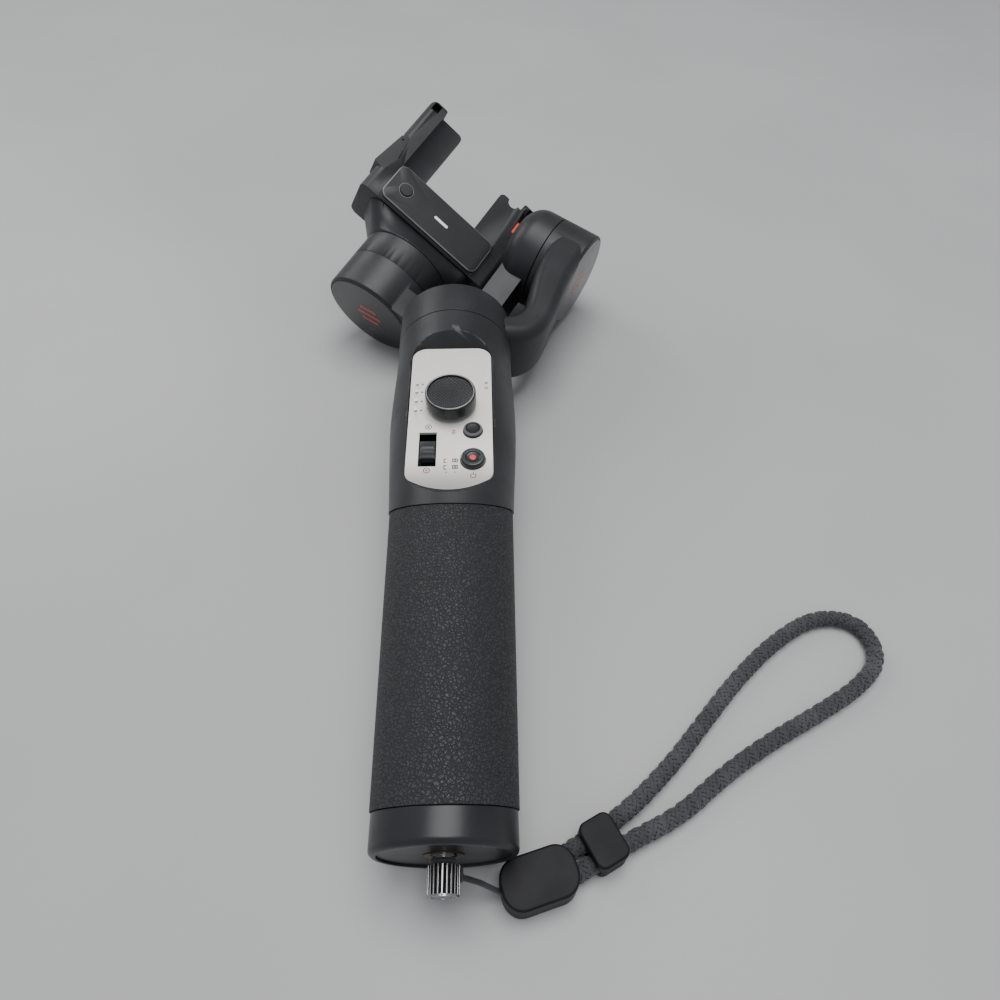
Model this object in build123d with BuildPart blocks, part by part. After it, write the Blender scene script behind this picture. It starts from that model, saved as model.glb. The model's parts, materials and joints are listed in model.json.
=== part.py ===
from build123d import *
from math import cos, pi, radians, sin, tan
import os

# Handheld three-axis camera gimbal, lying on its back, with its wrist strap laid out beside it.

os.makedirs("parts", exist_ok=True)

# ---------------------------------------------------------------- driving dimensions (mm, degrees)
# Handle, measured along its own axis from the base end.
BASE_RADIUS = 18.25          # outer radius of the base ring
BASE_SEAM = 10.0             # base ring to grip, on the axis
BASE_SEAM_SLANT = 6.3        # the seam runs higher at the back
GRIP_SEAM = 100.0            # grip to upper housing, on the axis
GRIP_SEAM_SLANT = 26.0
GRIP_RADIUS_LOW = 18.5
GRIP_RADIUS_HIGH = 20.0
GRIP_SKIN = 1.4              # thickness of the leather-grained sleeve
TUBE_WALL = 2.0
BELLY_RADIUS = 22.0          # upper housing at the joystick
TOP_RADIUS = 21.4            # upper housing and pan ring
HOUSING_TOP = 175.0          # pan seam
SHELL_SPLIT = 3.0            # front and rear shells part this far behind the axis
PANEL_FACE = 16.4            # control panel's face, in front of the axis
PANEL_WIDTH = 27.4
PANEL_TOP = 160.0
PANEL_SHOULDER = 102.4       # where the panel's lower arc starts
PANEL_BOTTOM = 97.8
PANEL_THICK = 1.2

# Controls on the panel: (across, along the handle).
STICK_AT = (0.2, 132.7)
MODE_AT = (7.4, 121.2)
RECORD_AT = (7.4, 109.2)
SLIDER_AT = (-7.0, 113.8)
LIGHTS_AT = ((-11.5, 142.3), (-11.5, 138.6), (-11.5, 134.4), (-11.5, 130.3), (11.9, 142.8))
LIGHT_RADIUS = 0.5
LIGHT_DEPTH = 3.0
STICK_CAP_RADIUS = 8.4
STICK_PIVOT_DEPTH = 5.0      # joystick pivots this far under the panel's face
MODE_RADIUS = 3.1
RECORD_RADIUS = 3.9
SLIDER_WINDOW = (5.6, 14.0)
SLIDER_KNOB = (5.0, 7.0)
BUTTON_GAP = 0.15

# Motors. Each has its seam at 0 and its housing above it.
MOTOR_RADIUS = 20.8
HOUSING_DEPTH = 17.0
SEAM_GAP = 0.4
CAVITY_RADIUS = 18.4
BELL_RADIUS = 17.1
BELL_WALL = 1.2
BELL_DEPTH = 13.2
SHAFT_RADIUS = 2.5
SHAFT_RUNNING_GAP = 0.05
NECK_WALL = 2.2
NECK_END_WALL = 2.4
BOSS_RADIUS = 5.4
BOSS_TOP = 1.2
BEARING_RADIUS = 3.9
POST_RADIUS = 5.2
STATOR_RADIUS = 13.3
TOOTH_COUNT = 12
MAGNET_COUNT = 14
END_WALL_AT = 14.0
END_WALL = 1.4
CAP_RADIUS = 19.6

# Head: three axes that nearly meet on the handle's axis.
AXES_HEIGHT = 268.0          # where the roll axis crosses the pan axis
ROLL_AXIS_DROP = 30.7        # the roll axis leans this far towards the base
ROLL_SEAM = 47.3             # roll motor's seam, from the crossing
ROLL_NECK_START = 31.0
TILT_OFFSET = -3.9           # tilt axis from the crossing, along the roll axis
TILT_SEAM = 48.7
PAN_RING_HEIGHT = 15.0

# Pose in which the gimbal lies, power off.
LEAN = 4.2                   # the handle rises towards the head
PAN_ANGLE = 12.6
ROLL_ANGLE = 20.3
TILT_ANGLE = 155.2

# Camera clamp, in the tilt motor's frame: x along the camera's height, y out of the face plate.
CLAMP_MIDDLE = -1.9
BAY_HEIGHT = 51.5            # between the arms
ARM_WIDTH = 8.4
BOX_NEAR = 6.6               # box starts here along the tilt axis; the camera sits below
BOX_FAR = 26.2
PLATE_FACE = 14.9
PLATE_THICK = 1.4
PLATE_DEPTH = 18.4
RIM_FACE = 12.6
CLAMP_BACK = -12.5
LONG_ARM = -31.0
SHORT_ARM = -23.5
FLANGE_FACE = 8.2
FLANGE_THICK = 2.4
FLANGE_WIDTH = 11.5
FUNCTION_AT = (-19.8, 16.3)
FUNCTION_RADIUS = 2.8

# Wrist strap, laid on the table: (across, along, height) from the foot of the base.
CORD_DIAMETER = 4.8
STRING_DIAMETER = 1.4
STRAP_HEADING = 27.0
ADJUSTER_AT = (40.3, 4.1)
STRAND_SPACING = 5.4
STRAND_HEIGHT = 4.0
BLOCK_SIZE = (20.0, 12.6, 9.4)
BLOCK_HEADING = 16.0
BLOCK_AT = (23.2, -4.2)
ADJUSTER_SIZE = (9.6, 12.4, 8.8)

# ---------------------------------------------------------------- frames
# Every link is drawn upright in its own frame, then carried into the lying pose. The row stands
# on the table: z up, y towards the head. The handle's frame has z along the handle, the panel
# at -y and the base end at 0.
foot_height = BASE_RADIUS * cos(radians(LEAN))
foot_along = BASE_RADIUS * sin(radians(LEAN))
handle_pose = Location((0, -foot_along, foot_height), (LEAN - 90, 0, 0))
pan_pose = handle_pose * Location((0, 0, 0), (0, 0, PAN_ANGLE))
roll_mount = Location((0, 0, AXES_HEIGHT), (0, 90 + ROLL_AXIS_DROP, 0))
roll_pose = pan_pose * roll_mount * Location((0, 0, 0), (0, 0, ROLL_ANGLE))
tilt_mount = Location((0, 0, TILT_OFFSET), (0, 90, 0))
tilt_pose = roll_pose * tilt_mount * Location((0, 0, 0), (0, 0, TILT_ANGLE))

# Motor frames: the seam is at 0 and the housing is above it.
pan_motor = Location((0, 0, HOUSING_TOP + SEAM_GAP), (180, 0, 0))
roll_motor_on_arm = roll_mount * Location((0, 0, ROLL_SEAM))
roll_motor = Location((0, 0, ROLL_SEAM))
tilt_motor_on_arm = tilt_mount * Location((0, 0, TILT_SEAM))
tilt_motor = Location((0, 0, TILT_SEAM))

panel_plane = Plane(origin=(0, -PANEL_FACE, 0), x_dir=(1, 0, 0), z_dir=(0, -1, 0))
finished = []


def keep(piece, name, pose, on_cord=False):
    """Label a finished piece and carry it to its place at rest."""
    placed = piece.part.moved(pose)
    placed.label = name
    finished.append((placed, on_cord))


def slanted(height, slant):
    """The plane of a seam that crosses the handle's axis at a height and rises to the back."""
    upward = (0, -sin(radians(slant)), cos(radians(slant)))
    return Plane(origin=(0, 0, height), x_dir=(1, 0, 0), z_dir=upward)


def tube_about_z(outer, inner, low, high):
    """A plain ring about the z axis."""
    with BuildPart() as ring:
        with BuildSketch(Plane.XY.offset(low)):
            Circle(outer)
            Circle(inner, mode=Mode.SUBTRACT)
        extrude(amount=high - low)
    return ring


# ---------------------------------------------------------------- handle: base and grip
base_seam = slanted(BASE_SEAM, BASE_SEAM_SLANT)
grip_seam = slanted(GRIP_SEAM, GRIP_SEAM_SLANT)

with BuildPart() as base_ring:
    with BuildSketch(Plane.XZ):
        with BuildLine():
            Line((0, 0), (BASE_RADIUS - 1.6, 0))
            TangentArc((BASE_RADIUS - 1.6, 0), (BASE_RADIUS, 1.6), tangent=(1, 0))
            Polyline((BASE_RADIUS, 1.6), (BASE_RADIUS, 14), (0, 14), (0, 0))
        make_face()
    revolve(axis=Axis.Z)
    split(bisect_by=base_seam, keep=Keep.BOTTOM)
    with Locations((0, 0, -1)):
        Cylinder(16.2, 3.0, align=(Align.CENTER, Align.CENTER, Align.MIN), mode=Mode.SUBTRACT)
    Cylinder(14.6, 14, align=(Align.CENTER, Align.CENTER, Align.MIN), mode=Mode.SUBTRACT)
keep(base_ring, "base_ring", handle_pose)

with BuildPart() as end_disc:
    with BuildSketch(Plane.XY.offset(0.6)):
        Circle(16.1)
        Circle(5.0, mode=Mode.SUBTRACT)
    extrude(amount=1.4)
    with BuildSketch(Plane.XY.offset(0.6)):
        Circle(14.4)
        Circle(5.0, mode=Mode.SUBTRACT)
    extrude(amount=6.4)
keep(end_disc, "end_disc", handle_pose)

with BuildPart() as tripod_socket:
    with BuildSketch(Plane.XY.offset(0.4)):
        Circle(4.95)
        Circle(3.2, mode=Mode.SUBTRACT)
    extrude(amount=8.6)
    with BuildSketch(Plane.XY.offset(8.0)):
        Circle(7.0)
    extrude(amount=1.4)
keep(tripod_socket, "tripod_socket", handle_pose)

with BuildPart() as handle_tube:
    with BuildSketch(Plane.XZ):
        with BuildLine():
            Polyline(
                (GRIP_RADIUS_LOW - GRIP_SKIN, 2.2),
                (GRIP_RADIUS_HIGH - GRIP_SKIN, 112),
                (GRIP_RADIUS_HIGH - GRIP_SKIN - TUBE_WALL, 112),
                (GRIP_RADIUS_LOW - GRIP_SKIN - TUBE_WALL, 2.2),
                close=True,
            )
        make_face()
    revolve(axis=Axis.Z)
    split(bisect_by=base_seam, keep=Keep.TOP)
    split(bisect_by=grip_seam, keep=Keep.BOTTOM)
keep(handle_tube, "handle_tube", handle_pose)

with BuildPart() as grip_sleeve:
    with BuildSketch(Plane.XZ):
        with BuildLine():
            Polyline(
                (GRIP_RADIUS_LOW, 2),
                (GRIP_RADIUS_HIGH, 112),
                (GRIP_RADIUS_HIGH - GRIP_SKIN, 112),
                (GRIP_RADIUS_LOW - GRIP_SKIN, 2),
                close=True,
            )
        make_face()
    revolve(axis=Axis.Z)
    split(bisect_by=base_seam.offset(0.15), keep=Keep.TOP)
    split(bisect_by=grip_seam.offset(-0.15), keep=Keep.BOTTOM)
keep(grip_sleeve, "grip_sleeve", handle_pose)

with BuildPart() as battery:
    with BuildSketch(Plane.XY.offset(12)):
        Circle(9.2)
    extrude(amount=65)
    fillet(battery.edges().filter_by(GeomType.CIRCLE), 0.8)
    with BuildSketch(Plane.XY.offset(77)):
        Circle(2.8)
    extrude(amount=1.2)
keep(battery, "battery", handle_pose)

with BuildPart() as battery_holder:
    with BuildSketch(Plane.XY.offset(10)):
        Circle(14.3)
    extrude(amount=74)
    with BuildSketch(Plane.XY.offset(11.6)):
        Circle(9.5)
        with Locations((0, 14)):
            Rectangle(19, 28)
    extrude(amount=70, mode=Mode.SUBTRACT)
keep(battery_holder, "battery_holder", handle_pose)

# ---------------------------------------------------------------- handle: upper housing
panel_back = Plane.XZ.offset(PANEL_FACE - 2.2)
HOLLOW_TOP = 161.5

def panel_outline(inset, rise=0.0, lift=0.0):
    """The control panel's outline, drawn in by an inset, on a plane above its face, moved up the handle."""
    half = PANEL_WIDTH / 2 - inset
    with BuildSketch(panel_plane.offset(rise).move(Location((0, 0, lift)))) as outline:
        with BuildLine():
            top = PANEL_TOP - inset
            Polyline((-half, PANEL_SHOULDER), (-half, top), (half, top), (half, PANEL_SHOULDER))
            ThreePointArc((half, PANEL_SHOULDER), (0, PANEL_BOTTOM + inset), (-half, PANEL_SHOULDER))
        make_face()
        fillet(outline.vertices().group_by(Axis.Y)[-1], 5.0 - inset)
        fillet(outline.vertices().group_by(Axis.Y)[0], 4.2 - inset)
    return outline.sketch


with BuildPart() as housing_hollow:
    with BuildSketch(Plane.XZ):
        with BuildLine():
            Polyline((0, 80), (17.9, 80), (18.6, 108), (19.9, 135), (19.4, HOLLOW_TOP))
            Polyline((19.4, HOLLOW_TOP), (0, HOLLOW_TOP), (0, 80))
        make_face()
    revolve(axis=Axis.Z)
    split(bisect_by=panel_back, keep=Keep.BOTTOM)
    with BuildSketch(Plane.XY.offset(HOLLOW_TOP - 0.1)):
        Circle(CAVITY_RADIUS - 0.8)
    extrude(amount=20)

with BuildPart() as housing:
    with BuildSketch(Plane.XZ):
        with BuildLine():
            Line((0, 84), (GRIP_RADIUS_HIGH + 0.1, 84))
            Spline(
                (GRIP_RADIUS_HIGH + 0.1, 84),
                (GRIP_RADIUS_HIGH + 0.5, 106),
                (BELLY_RADIUS, 135),
                (TOP_RADIUS, 160),
                (TOP_RADIUS, HOUSING_TOP),
            )
            Polyline((TOP_RADIUS, HOUSING_TOP), (0, HOUSING_TOP), (0, 84))
        make_face()
    revolve(axis=Axis.Z)
    split(bisect_by=grip_seam, keep=Keep.TOP)
    add(housing_hollow.part, mode=Mode.SUBTRACT)


shell_parting = Plane.XZ.offset(-SHELL_SPLIT)
# The bezel round the panel slopes outwards, and above the panel it climbs in steps: (rise, lift).
BEZEL_SLOPE = 38
BEZEL_STEPS = ((1.9, 2.4), (3.2, 4.6))
STEP_SLOPE = 20
TRIGGER_PIVOT = (20.6, 141.4)
TRUNNION_RADIUS = 0.6
USB_AT = 140.0
SHELL_SCREWS_AT = ((-7, 152), (7, 152))

COVER_OUTER = BELLY_RADIUS - 0.15
COVER_THICK = 1.2
COVER_MIDDLE = SHELL_SPLIT + 4.2
knuckle_back = COVER_MIDDLE + 2.9
COVER_KNUCKLE = (((COVER_OUTER - COVER_THICK / 2) ** 2 - knuckle_back**2) ** 0.5, knuckle_back)

with BuildPart() as cover_seat:
    with BuildSketch(Plane.YZ.offset(12)):
        with Locations((COVER_MIDDLE + 0.5, USB_AT)):
            RectangleRounded(7.6, 14.6, 1.2)
    extrude(amount=14)
    Cylinder(COVER_OUTER - COVER_THICK - 0.2, 400, mode=Mode.SUBTRACT)

with BuildPart() as front_shell:
    add(housing.part)
    split(bisect_by=shell_parting, keep=Keep.TOP)
    extrude(panel_outline(-0.3, -PANEL_THICK), amount=PANEL_THICK + 0.5, mode=Mode.SUBTRACT)
    extrude(panel_outline(-0.3), amount=8, taper=-BEZEL_SLOPE, mode=Mode.SUBTRACT)
    for rise, lift in BEZEL_STEPS:
        extrude(panel_outline(-0.3, rise, lift), amount=8, taper=-STEP_SLOPE, mode=Mode.SUBTRACT)
    extrude(panel_outline(1.6), amount=-6, mode=Mode.SUBTRACT)
    with BuildSketch(panel_plane):
        with Locations(*LIGHTS_AT):
            Circle(LIGHT_RADIUS + 0.1)
    extrude(amount=-LIGHT_DEPTH - 0.5, mode=Mode.SUBTRACT)
keep(front_shell, "front_shell", handle_pose)

with BuildPart() as rear_shell:
    add(housing.part)
    split(bisect_by=shell_parting, keep=Keep.BOTTOM)
    # Slot for the trigger and the screw seats.
    with BuildSketch(Plane.XZ.offset(-12)):
        with Locations((0, 131)):
            Rectangle(9.8, 24.8)
    extrude(amount=-16, mode=Mode.SUBTRACT)
    with BuildSketch(Plane.YZ):
        with Locations(TRIGGER_PIVOT):
            Circle(TRUNNION_RADIUS + 0.05)
    extrude(amount=6.1, both=True, mode=Mode.SUBTRACT)
    # Port opening on the right-hand side, and its shallow seat for the cover.
    with BuildSketch(Plane.YZ.offset(12)):
        with Locations((COVER_MIDDLE, USB_AT)):
            SlotOverall(9.4, 3.7, rotation=90)
    extrude(amount=12, mode=Mode.SUBTRACT)
    add(cover_seat.part, mode=Mode.SUBTRACT)
    with BuildSketch(Plane.XZ.offset(-17.6)):
        with Locations(*SHELL_SCREWS_AT):
            Circle(1.6)
    extrude(amount=-8, mode=Mode.SUBTRACT)
keep(rear_shell, "rear_shell", handle_pose)

with BuildPart() as panel_plate:
    extrude(panel_outline(0), amount=-PANEL_THICK)
    with BuildSketch(panel_plane):
        with Locations(STICK_AT):
            Circle(5.2)
        with Locations(MODE_AT):
            Circle(MODE_RADIUS + BUTTON_GAP)
        with Locations(RECORD_AT):
            Circle(RECORD_RADIUS + BUTTON_GAP)
        with Locations(SLIDER_AT):
            Rectangle(*SLIDER_WINDOW)
        with Locations(*LIGHTS_AT):
            Circle(LIGHT_RADIUS + 0.05)
    extrude(amount=-PANEL_THICK, mode=Mode.SUBTRACT)
keep(panel_plate, "panel_plate", handle_pose)

board_plane = panel_plane.offset(-7.2)
with BuildPart() as key_board:
    with BuildSketch(board_plane):
        with Locations((0, 129)):
            RectangleRounded(24, 56, 1.5)
    extrude(amount=-1.2)
    with BuildSketch(board_plane):
        with Locations(MODE_AT, RECORD_AT):
            Rectangle(4.6, 4.6)
    extrude(amount=2.4)
    with BuildSketch(board_plane):
        with Locations(SLIDER_AT):
            Rectangle(5.4, 13)
    extrude(amount=2.4)
keep(key_board, "key_board", handle_pose)

with BuildPart() as main_board:
    with BuildSketch(Plane.XZ.offset(-6)):
        with Locations((0, 122)):
            RectangleRounded(26, 66, 1.5)
    extrude(amount=-1.4)
    with BuildSketch(Plane.XZ.offset(-6)):
        with Locations((-4, 136), (5, 108)):
            Rectangle(9, 9)
    extrude(amount=1.2)
keep(main_board, "main_board", handle_pose)

with BuildPart() as usb_port:
    with BuildSketch(Plane.YZ.offset(13.4)):
        with Locations((COVER_MIDDLE, USB_AT)):
            SlotOverall(8.9, 3.2, rotation=90)
            SlotOverall(8.3, 2.6, rotation=90, mode=Mode.SUBTRACT)
    extrude(amount=4.6)
    with BuildSketch(Plane.YZ.offset(13.4)):
        with Locations((COVER_MIDDLE, USB_AT)):
            SlotOverall(8.9, 3.2, rotation=90)
    extrude(amount=1.0)
    with BuildSketch(Plane.YZ.offset(14.4)):
        with Locations((COVER_MIDDLE, USB_AT)):
            Rectangle(0.8, 6.4)
    extrude(amount=3.2)
keep(usb_port, "usb_port", handle_pose)

with BuildPart() as usb_cover:
    with BuildSketch(Plane.YZ.offset(12)):
        with Locations((COVER_MIDDLE, USB_AT)):
            RectangleRounded(6.0, 14.0, 1.0)
    extrude(amount=14)
    Cylinder(COVER_OUTER, 400, mode=Mode.INTERSECT)
    Cylinder(COVER_OUTER - COVER_THICK, 400, mode=Mode.SUBTRACT)
    with BuildSketch(Plane.XY.offset(USB_AT)):
        with Locations(COVER_KNUCKLE):
            Circle(COVER_THICK / 2)
    extrude(amount=6.0, both=True)
keep(usb_cover, "usb_cover", handle_pose)

with BuildPart() as shell_screws:
    with BuildSketch(Plane.XZ.offset(-17.6)):
        with Locations(*SHELL_SCREWS_AT):
            Circle(1.5)
            RegularPolygon(0.7, 6, mode=Mode.SUBTRACT)
    extrude(amount=-1.8)
keep(shell_screws, "shell_screws", handle_pose)

with BuildPart() as indicator_lights:
    with BuildSketch(panel_plane.offset(-LIGHT_DEPTH)):
        with Locations(*LIGHTS_AT):
            Circle(LIGHT_RADIUS)
    extrude(amount=LIGHT_DEPTH - 0.05)
keep(indicator_lights, "indicator_lights", handle_pose)

# ---------------------------------------------------------------- handle: joystick and keys
pivot_plane = panel_plane.offset(-STICK_PIVOT_DEPTH)
stick_pivot = pivot_plane.from_local_coords((*STICK_AT, 0))
stick_axis_along = Plane(origin=stick_pivot, x_dir=(1, 0, 0), z_dir=(0, 0, 1))
stick_axis_across = Plane(origin=stick_pivot, x_dir=(0, 1, 0), z_dir=(1, 0, 0))

with BuildPart() as joystick_base:
    with BuildSketch(pivot_plane.offset(-2.2)):
        with Locations(STICK_AT):
            RectangleRounded(14.6, 14.6, 1.0)
    extrude(amount=4.4)
    with BuildSketch(pivot_plane.offset(-1.9)):
        with Locations(STICK_AT):
            Circle(5.5)
    extrude(amount=6, mode=Mode.SUBTRACT)
    with BuildSketch(stick_axis_across):
        Circle(0.65)
    extrude(amount=6.6, both=True, mode=Mode.SUBTRACT)
keep(joystick_base, "joystick_base", handle_pose)

with BuildPart() as joystick_ring:
    with BuildSketch(pivot_plane.offset(-0.9)):
        with Locations(STICK_AT):
            Circle(4.9)
            Circle(3.4, mode=Mode.SUBTRACT)
    extrude(amount=1.8)
    with BuildSketch(stick_axis_across.offset(4.4)):
        Circle(0.6)
    extrude(amount=2.0)
    with BuildSketch(stick_axis_across.offset(-4.4)):
        Circle(0.6)
    extrude(amount=-2.0)
    with BuildSketch(stick_axis_along):
        Circle(0.65)
    extrude(amount=6, both=True, mode=Mode.SUBTRACT)
keep(joystick_ring, "joystick_ring", handle_pose)

with BuildPart() as joystick:
    with BuildSketch(pivot_plane.offset(-1.3)):
        with Locations(STICK_AT):
            Circle(1.7)
    extrude(amount=STICK_PIVOT_DEPTH + 3.2)
    with BuildSketch(stick_axis_along):
        Circle(0.6)
    extrude(amount=4.5, both=True)
    with BuildSketch(panel_plane.offset(1.6)):
        with Locations(STICK_AT):
            Circle(STICK_CAP_RADIUS)
    extrude(amount=4.9)
    fillet(joystick.faces().sort_by(Axis.Y)[0].edges(), 0.9)
    with BuildSketch(panel_plane.offset(6.5)):
        with Locations(STICK_AT):
            Circle(STICK_CAP_RADIUS - 1.3)
    extrude(amount=-0.45, mode=Mode.SUBTRACT)
keep(joystick, "joystick", handle_pose)


def panel_key(place, radius, rise):
    """A round key: a guided stem with a flange under the panel and a softly rounded head."""
    with BuildPart() as key:
        with BuildSketch(panel_plane.offset(-PANEL_THICK - 1.7)):
            with Locations(place):
                Circle(radius + 0.6)
        extrude(amount=0.8)
        with BuildSketch(panel_plane.offset(-PANEL_THICK - 1.7)):
            with Locations(place):
                Circle(radius)
        extrude(amount=rise + PANEL_THICK + 1.7)
        fillet(key.faces().sort_by(Axis.Y)[0].edges(), 0.5)
    return key


keep(panel_key(MODE_AT, MODE_RADIUS, 1.5), "mode_key", handle_pose)
keep(panel_key(RECORD_AT, RECORD_RADIUS, 1.6), "record_key", handle_pose)

with BuildPart() as zoom_slider:
    with BuildSketch(panel_plane.offset(-2.6)):
        with Locations(SLIDER_AT):
            RectangleRounded(*SLIDER_KNOB, 0.5)
    extrude(amount=3.2)
    with BuildSketch(panel_plane.offset(0.6)):
        with Locations((SLIDER_AT[0], SLIDER_AT[1] + 1.9), (SLIDER_AT[0], SLIDER_AT[1] - 1.9)):
            RectangleRounded(4.6, 2.4, 0.4)
    extrude(amount=0.5)
keep(zoom_slider, "zoom_slider", handle_pose)

with BuildPart() as trigger:
    with BuildSketch(Plane.YZ):
        with BuildLine():
            Polyline((16.5, 142.6), (16.5, 120.2), (24.2, 120.2), (26.0, 123.5))
            Spline((26.0, 123.5), (24.8, 133), (22.4, 142.6))
            Line((22.4, 142.6), (16.5, 142.6))
        make_face()
    extrude(amount=4.5, both=True)
    fillet(trigger.edges().filter_by(GeomType.BSPLINE), 1.2)
    with BuildSketch(Plane.YZ):
        with Locations(TRIGGER_PIVOT):
            Circle(TRUNNION_RADIUS)
    extrude(amount=5.9, both=True)
keep(trigger, "trigger", handle_pose)

# ---------------------------------------------------------------- motors
def stator():
    """The laminated core with its teeth."""
    with BuildPart() as core:
        with BuildSketch(Plane.XY.offset(3)):
            Circle(8)
            with PolarLocations(10, TOOTH_COUNT):
                Rectangle(5.4, 2.2)
            with PolarLocations(STATOR_RADIUS - 0.7, TOOTH_COUNT):
                Rectangle(1.0, 4.6)
            Circle(POST_RADIUS + 0.02, mode=Mode.SUBTRACT)
        extrude(amount=9)
    return core


def windings():
    """One copper coil round each tooth, as separate solids."""
    with BuildPart() as coils:
        with BuildSketch(Plane.XY.offset(2)):
            with PolarLocations(10.2, TOOTH_COUNT):
                Rectangle(3.4, 4.0)
        extrude(amount=11)
        with BuildSketch(Plane.XY.offset(2.9)):
            with PolarLocations(10.2, TOOTH_COUNT):
                Rectangle(3.4, 2.3)
        extrude(amount=9.2, mode=Mode.SUBTRACT)
    return coils


def magnets():
    """A ring of bar magnets inside the rotor's bell."""
    with BuildPart() as bars:
        with BuildSketch(Plane.XY.offset(3)):
            with PolarLocations(BELL_RADIUS - BELL_WALL - 0.95, MAGNET_COUNT):
                Rectangle(1.3, 5.2)
        extrude(amount=9)
    return bars


def rotor_neck(length, radius, end_round=0.8):
    """The turning half of a motor: an outer collar, an end disc, a boss and the bell."""
    bore = SHAFT_RADIUS + 0.02
    inner = radius - NECK_WALL
    inner_round = max(end_round, NECK_END_WALL + 0.6)
    with BuildPart() as neck:
        with BuildSketch(Plane.XZ):
            with BuildLine():
                Line((bore, -length), (radius - end_round, -length))
                TangentArc((radius - end_round, -length), (radius, -length + end_round), tangent=(1, 0))
                Polyline(
                    (radius, -length + end_round),
                    (radius, 0),
                    (BELL_RADIUS, 0),
                    (BELL_RADIUS, BELL_DEPTH),
                    (BELL_RADIUS - BELL_WALL, BELL_DEPTH),
                    (BELL_RADIUS - BELL_WALL, -1.6),
                    (inner, -1.6),
                    (inner, -length + inner_round),
                    (inner - inner_round + NECK_END_WALL, -length + NECK_END_WALL),
                    (BOSS_RADIUS, -length + NECK_END_WALL),
                    (BOSS_RADIUS, BOSS_TOP),
                    (bore, BOSS_TOP),
                    (bore, -length),
                )
            make_face()
        revolve(axis=Axis.Z)
    return neck


# The end wall with the hollow post that carries the stator and the bearing.
with BuildPart() as end_post:
    with BuildSketch(Plane.XZ):
        with BuildLine():
            Polyline(
                (0, END_WALL_AT),
                (BEARING_RADIUS + 0.02, END_WALL_AT),
                (BEARING_RADIUS + 0.02, 3),
                (POST_RADIUS, 3),
                (POST_RADIUS, END_WALL_AT),
                (CAVITY_RADIUS, END_WALL_AT),
                (CAVITY_RADIUS, END_WALL_AT + END_WALL),
                (0, END_WALL_AT + END_WALL),
                close=True,
            )
        make_face()
    revolve(axis=Axis.Z)

with BuildPart() as motor_cup:
    with BuildSketch(Plane.XY.offset(SEAM_GAP)):
        Circle(MOTOR_RADIUS)
        Circle(CAVITY_RADIUS, mode=Mode.SUBTRACT)
    extrude(amount=HOUSING_DEPTH - SEAM_GAP)
    fillet(motor_cup.edges().group_by(Axis.Z)[-1].sort_by(SortBy.LENGTH)[-1], 1.0)
    with BuildSketch(Plane.XY.offset(END_WALL_AT + END_WALL)):
        Circle(CAP_RADIUS + 0.02)
    extrude(amount=6, mode=Mode.SUBTRACT)
    add(end_post.part)

# What an arm must leave free inside and in front of its motor cup.
with BuildPart() as cup_room:
    Cylinder(MOTOR_RADIUS, HOUSING_DEPTH + 10, align=(Align.CENTER, Align.CENTER, Align.MIN))


def motor_cap():
    """The glossy cover that closes a motor housing."""
    with BuildPart() as cap:
        with BuildSketch(Plane.XY.offset(END_WALL_AT + END_WALL)):
            Circle(CAP_RADIUS)
        extrude(amount=HOUSING_DEPTH - END_WALL_AT - END_WALL + 0.3)
        fillet(cap.edges().group_by(Axis.Z)[-1], 0.6)
    return cap


motor_parts = (
    ("pan", handle_pose * pan_motor, pan_pose * pan_motor),
    ("roll", pan_pose * roll_motor_on_arm, roll_pose * roll_motor),
    ("tilt", roll_pose * tilt_motor_on_arm, tilt_pose * tilt_motor),
)
for axis_name, fixed_pose, turning_pose in motor_parts:
    keep(stator(), f"{axis_name}_stator", fixed_pose)
    keep(windings(), f"{axis_name}_windings", fixed_pose)
    bearing = tube_about_z(BEARING_RADIUS, SHAFT_RADIUS + SHAFT_RUNNING_GAP, 4, 10)
    keep(bearing, f"{axis_name}_bearing", fixed_pose)
    keep(tube_about_z(SHAFT_RADIUS, 0.8, -5, 12), f"{axis_name}_shaft", turning_pose)
    keep(magnets(), f"{axis_name}_magnets", turning_pose)

with BuildPart() as motor_plate:
    add(end_post.part)
    Cylinder(CAVITY_RADIUS - 1.0, 40, mode=Mode.INTERSECT)
    with Locations((0, 17.2, END_WALL_AT)):
        Box(40, 6.4, 12, mode=Mode.SUBTRACT)
keep(motor_plate, "motor_plate", handle_pose * pan_motor)

# ---------------------------------------------------------------- pan link
keep(rotor_neck(PAN_RING_HEIGHT, TOP_RADIUS), "pan_ring", pan_pose * pan_motor)

# Sections of the arm: (out, up, rise of its direction, width, thickness).
PAN_ARM_SECTIONS = (
    (15.0, 182.6, 10.0, 27.0, 11.5),
    (29.5, 189.5, 40.0, 28.0, 12.5),
    (35.6, 207.0, 62.0, 33.0, 14.2),
    (41.8, 225.0, 60.0, 38.0, 15.4),
    (48.1, 239.5, 59.3, 41.0, 16.0),
)
with BuildPart() as pan_arm:
    for out, up, rise, width, thickness in PAN_ARM_SECTIONS:
        direction = (cos(radians(rise)), 0, sin(radians(rise)))
        with BuildSketch(Plane(origin=(out, 0, up), x_dir=(0, 1, 0), z_dir=direction)):
            RectangleRounded(width, thickness, 4.5)
    loft()
    add(cup_room.part.moved(roll_motor_on_arm), mode=Mode.SUBTRACT)
    add(motor_cup.part.moved(roll_motor_on_arm))
    Cylinder(TOP_RADIUS, 2 * (HOUSING_TOP + PAN_RING_HEIGHT + SEAM_GAP), mode=Mode.SUBTRACT)
keep(pan_arm, "pan_arm", pan_pose)
keep(motor_cap(), "roll_cap", pan_pose * roll_motor_on_arm)

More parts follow.
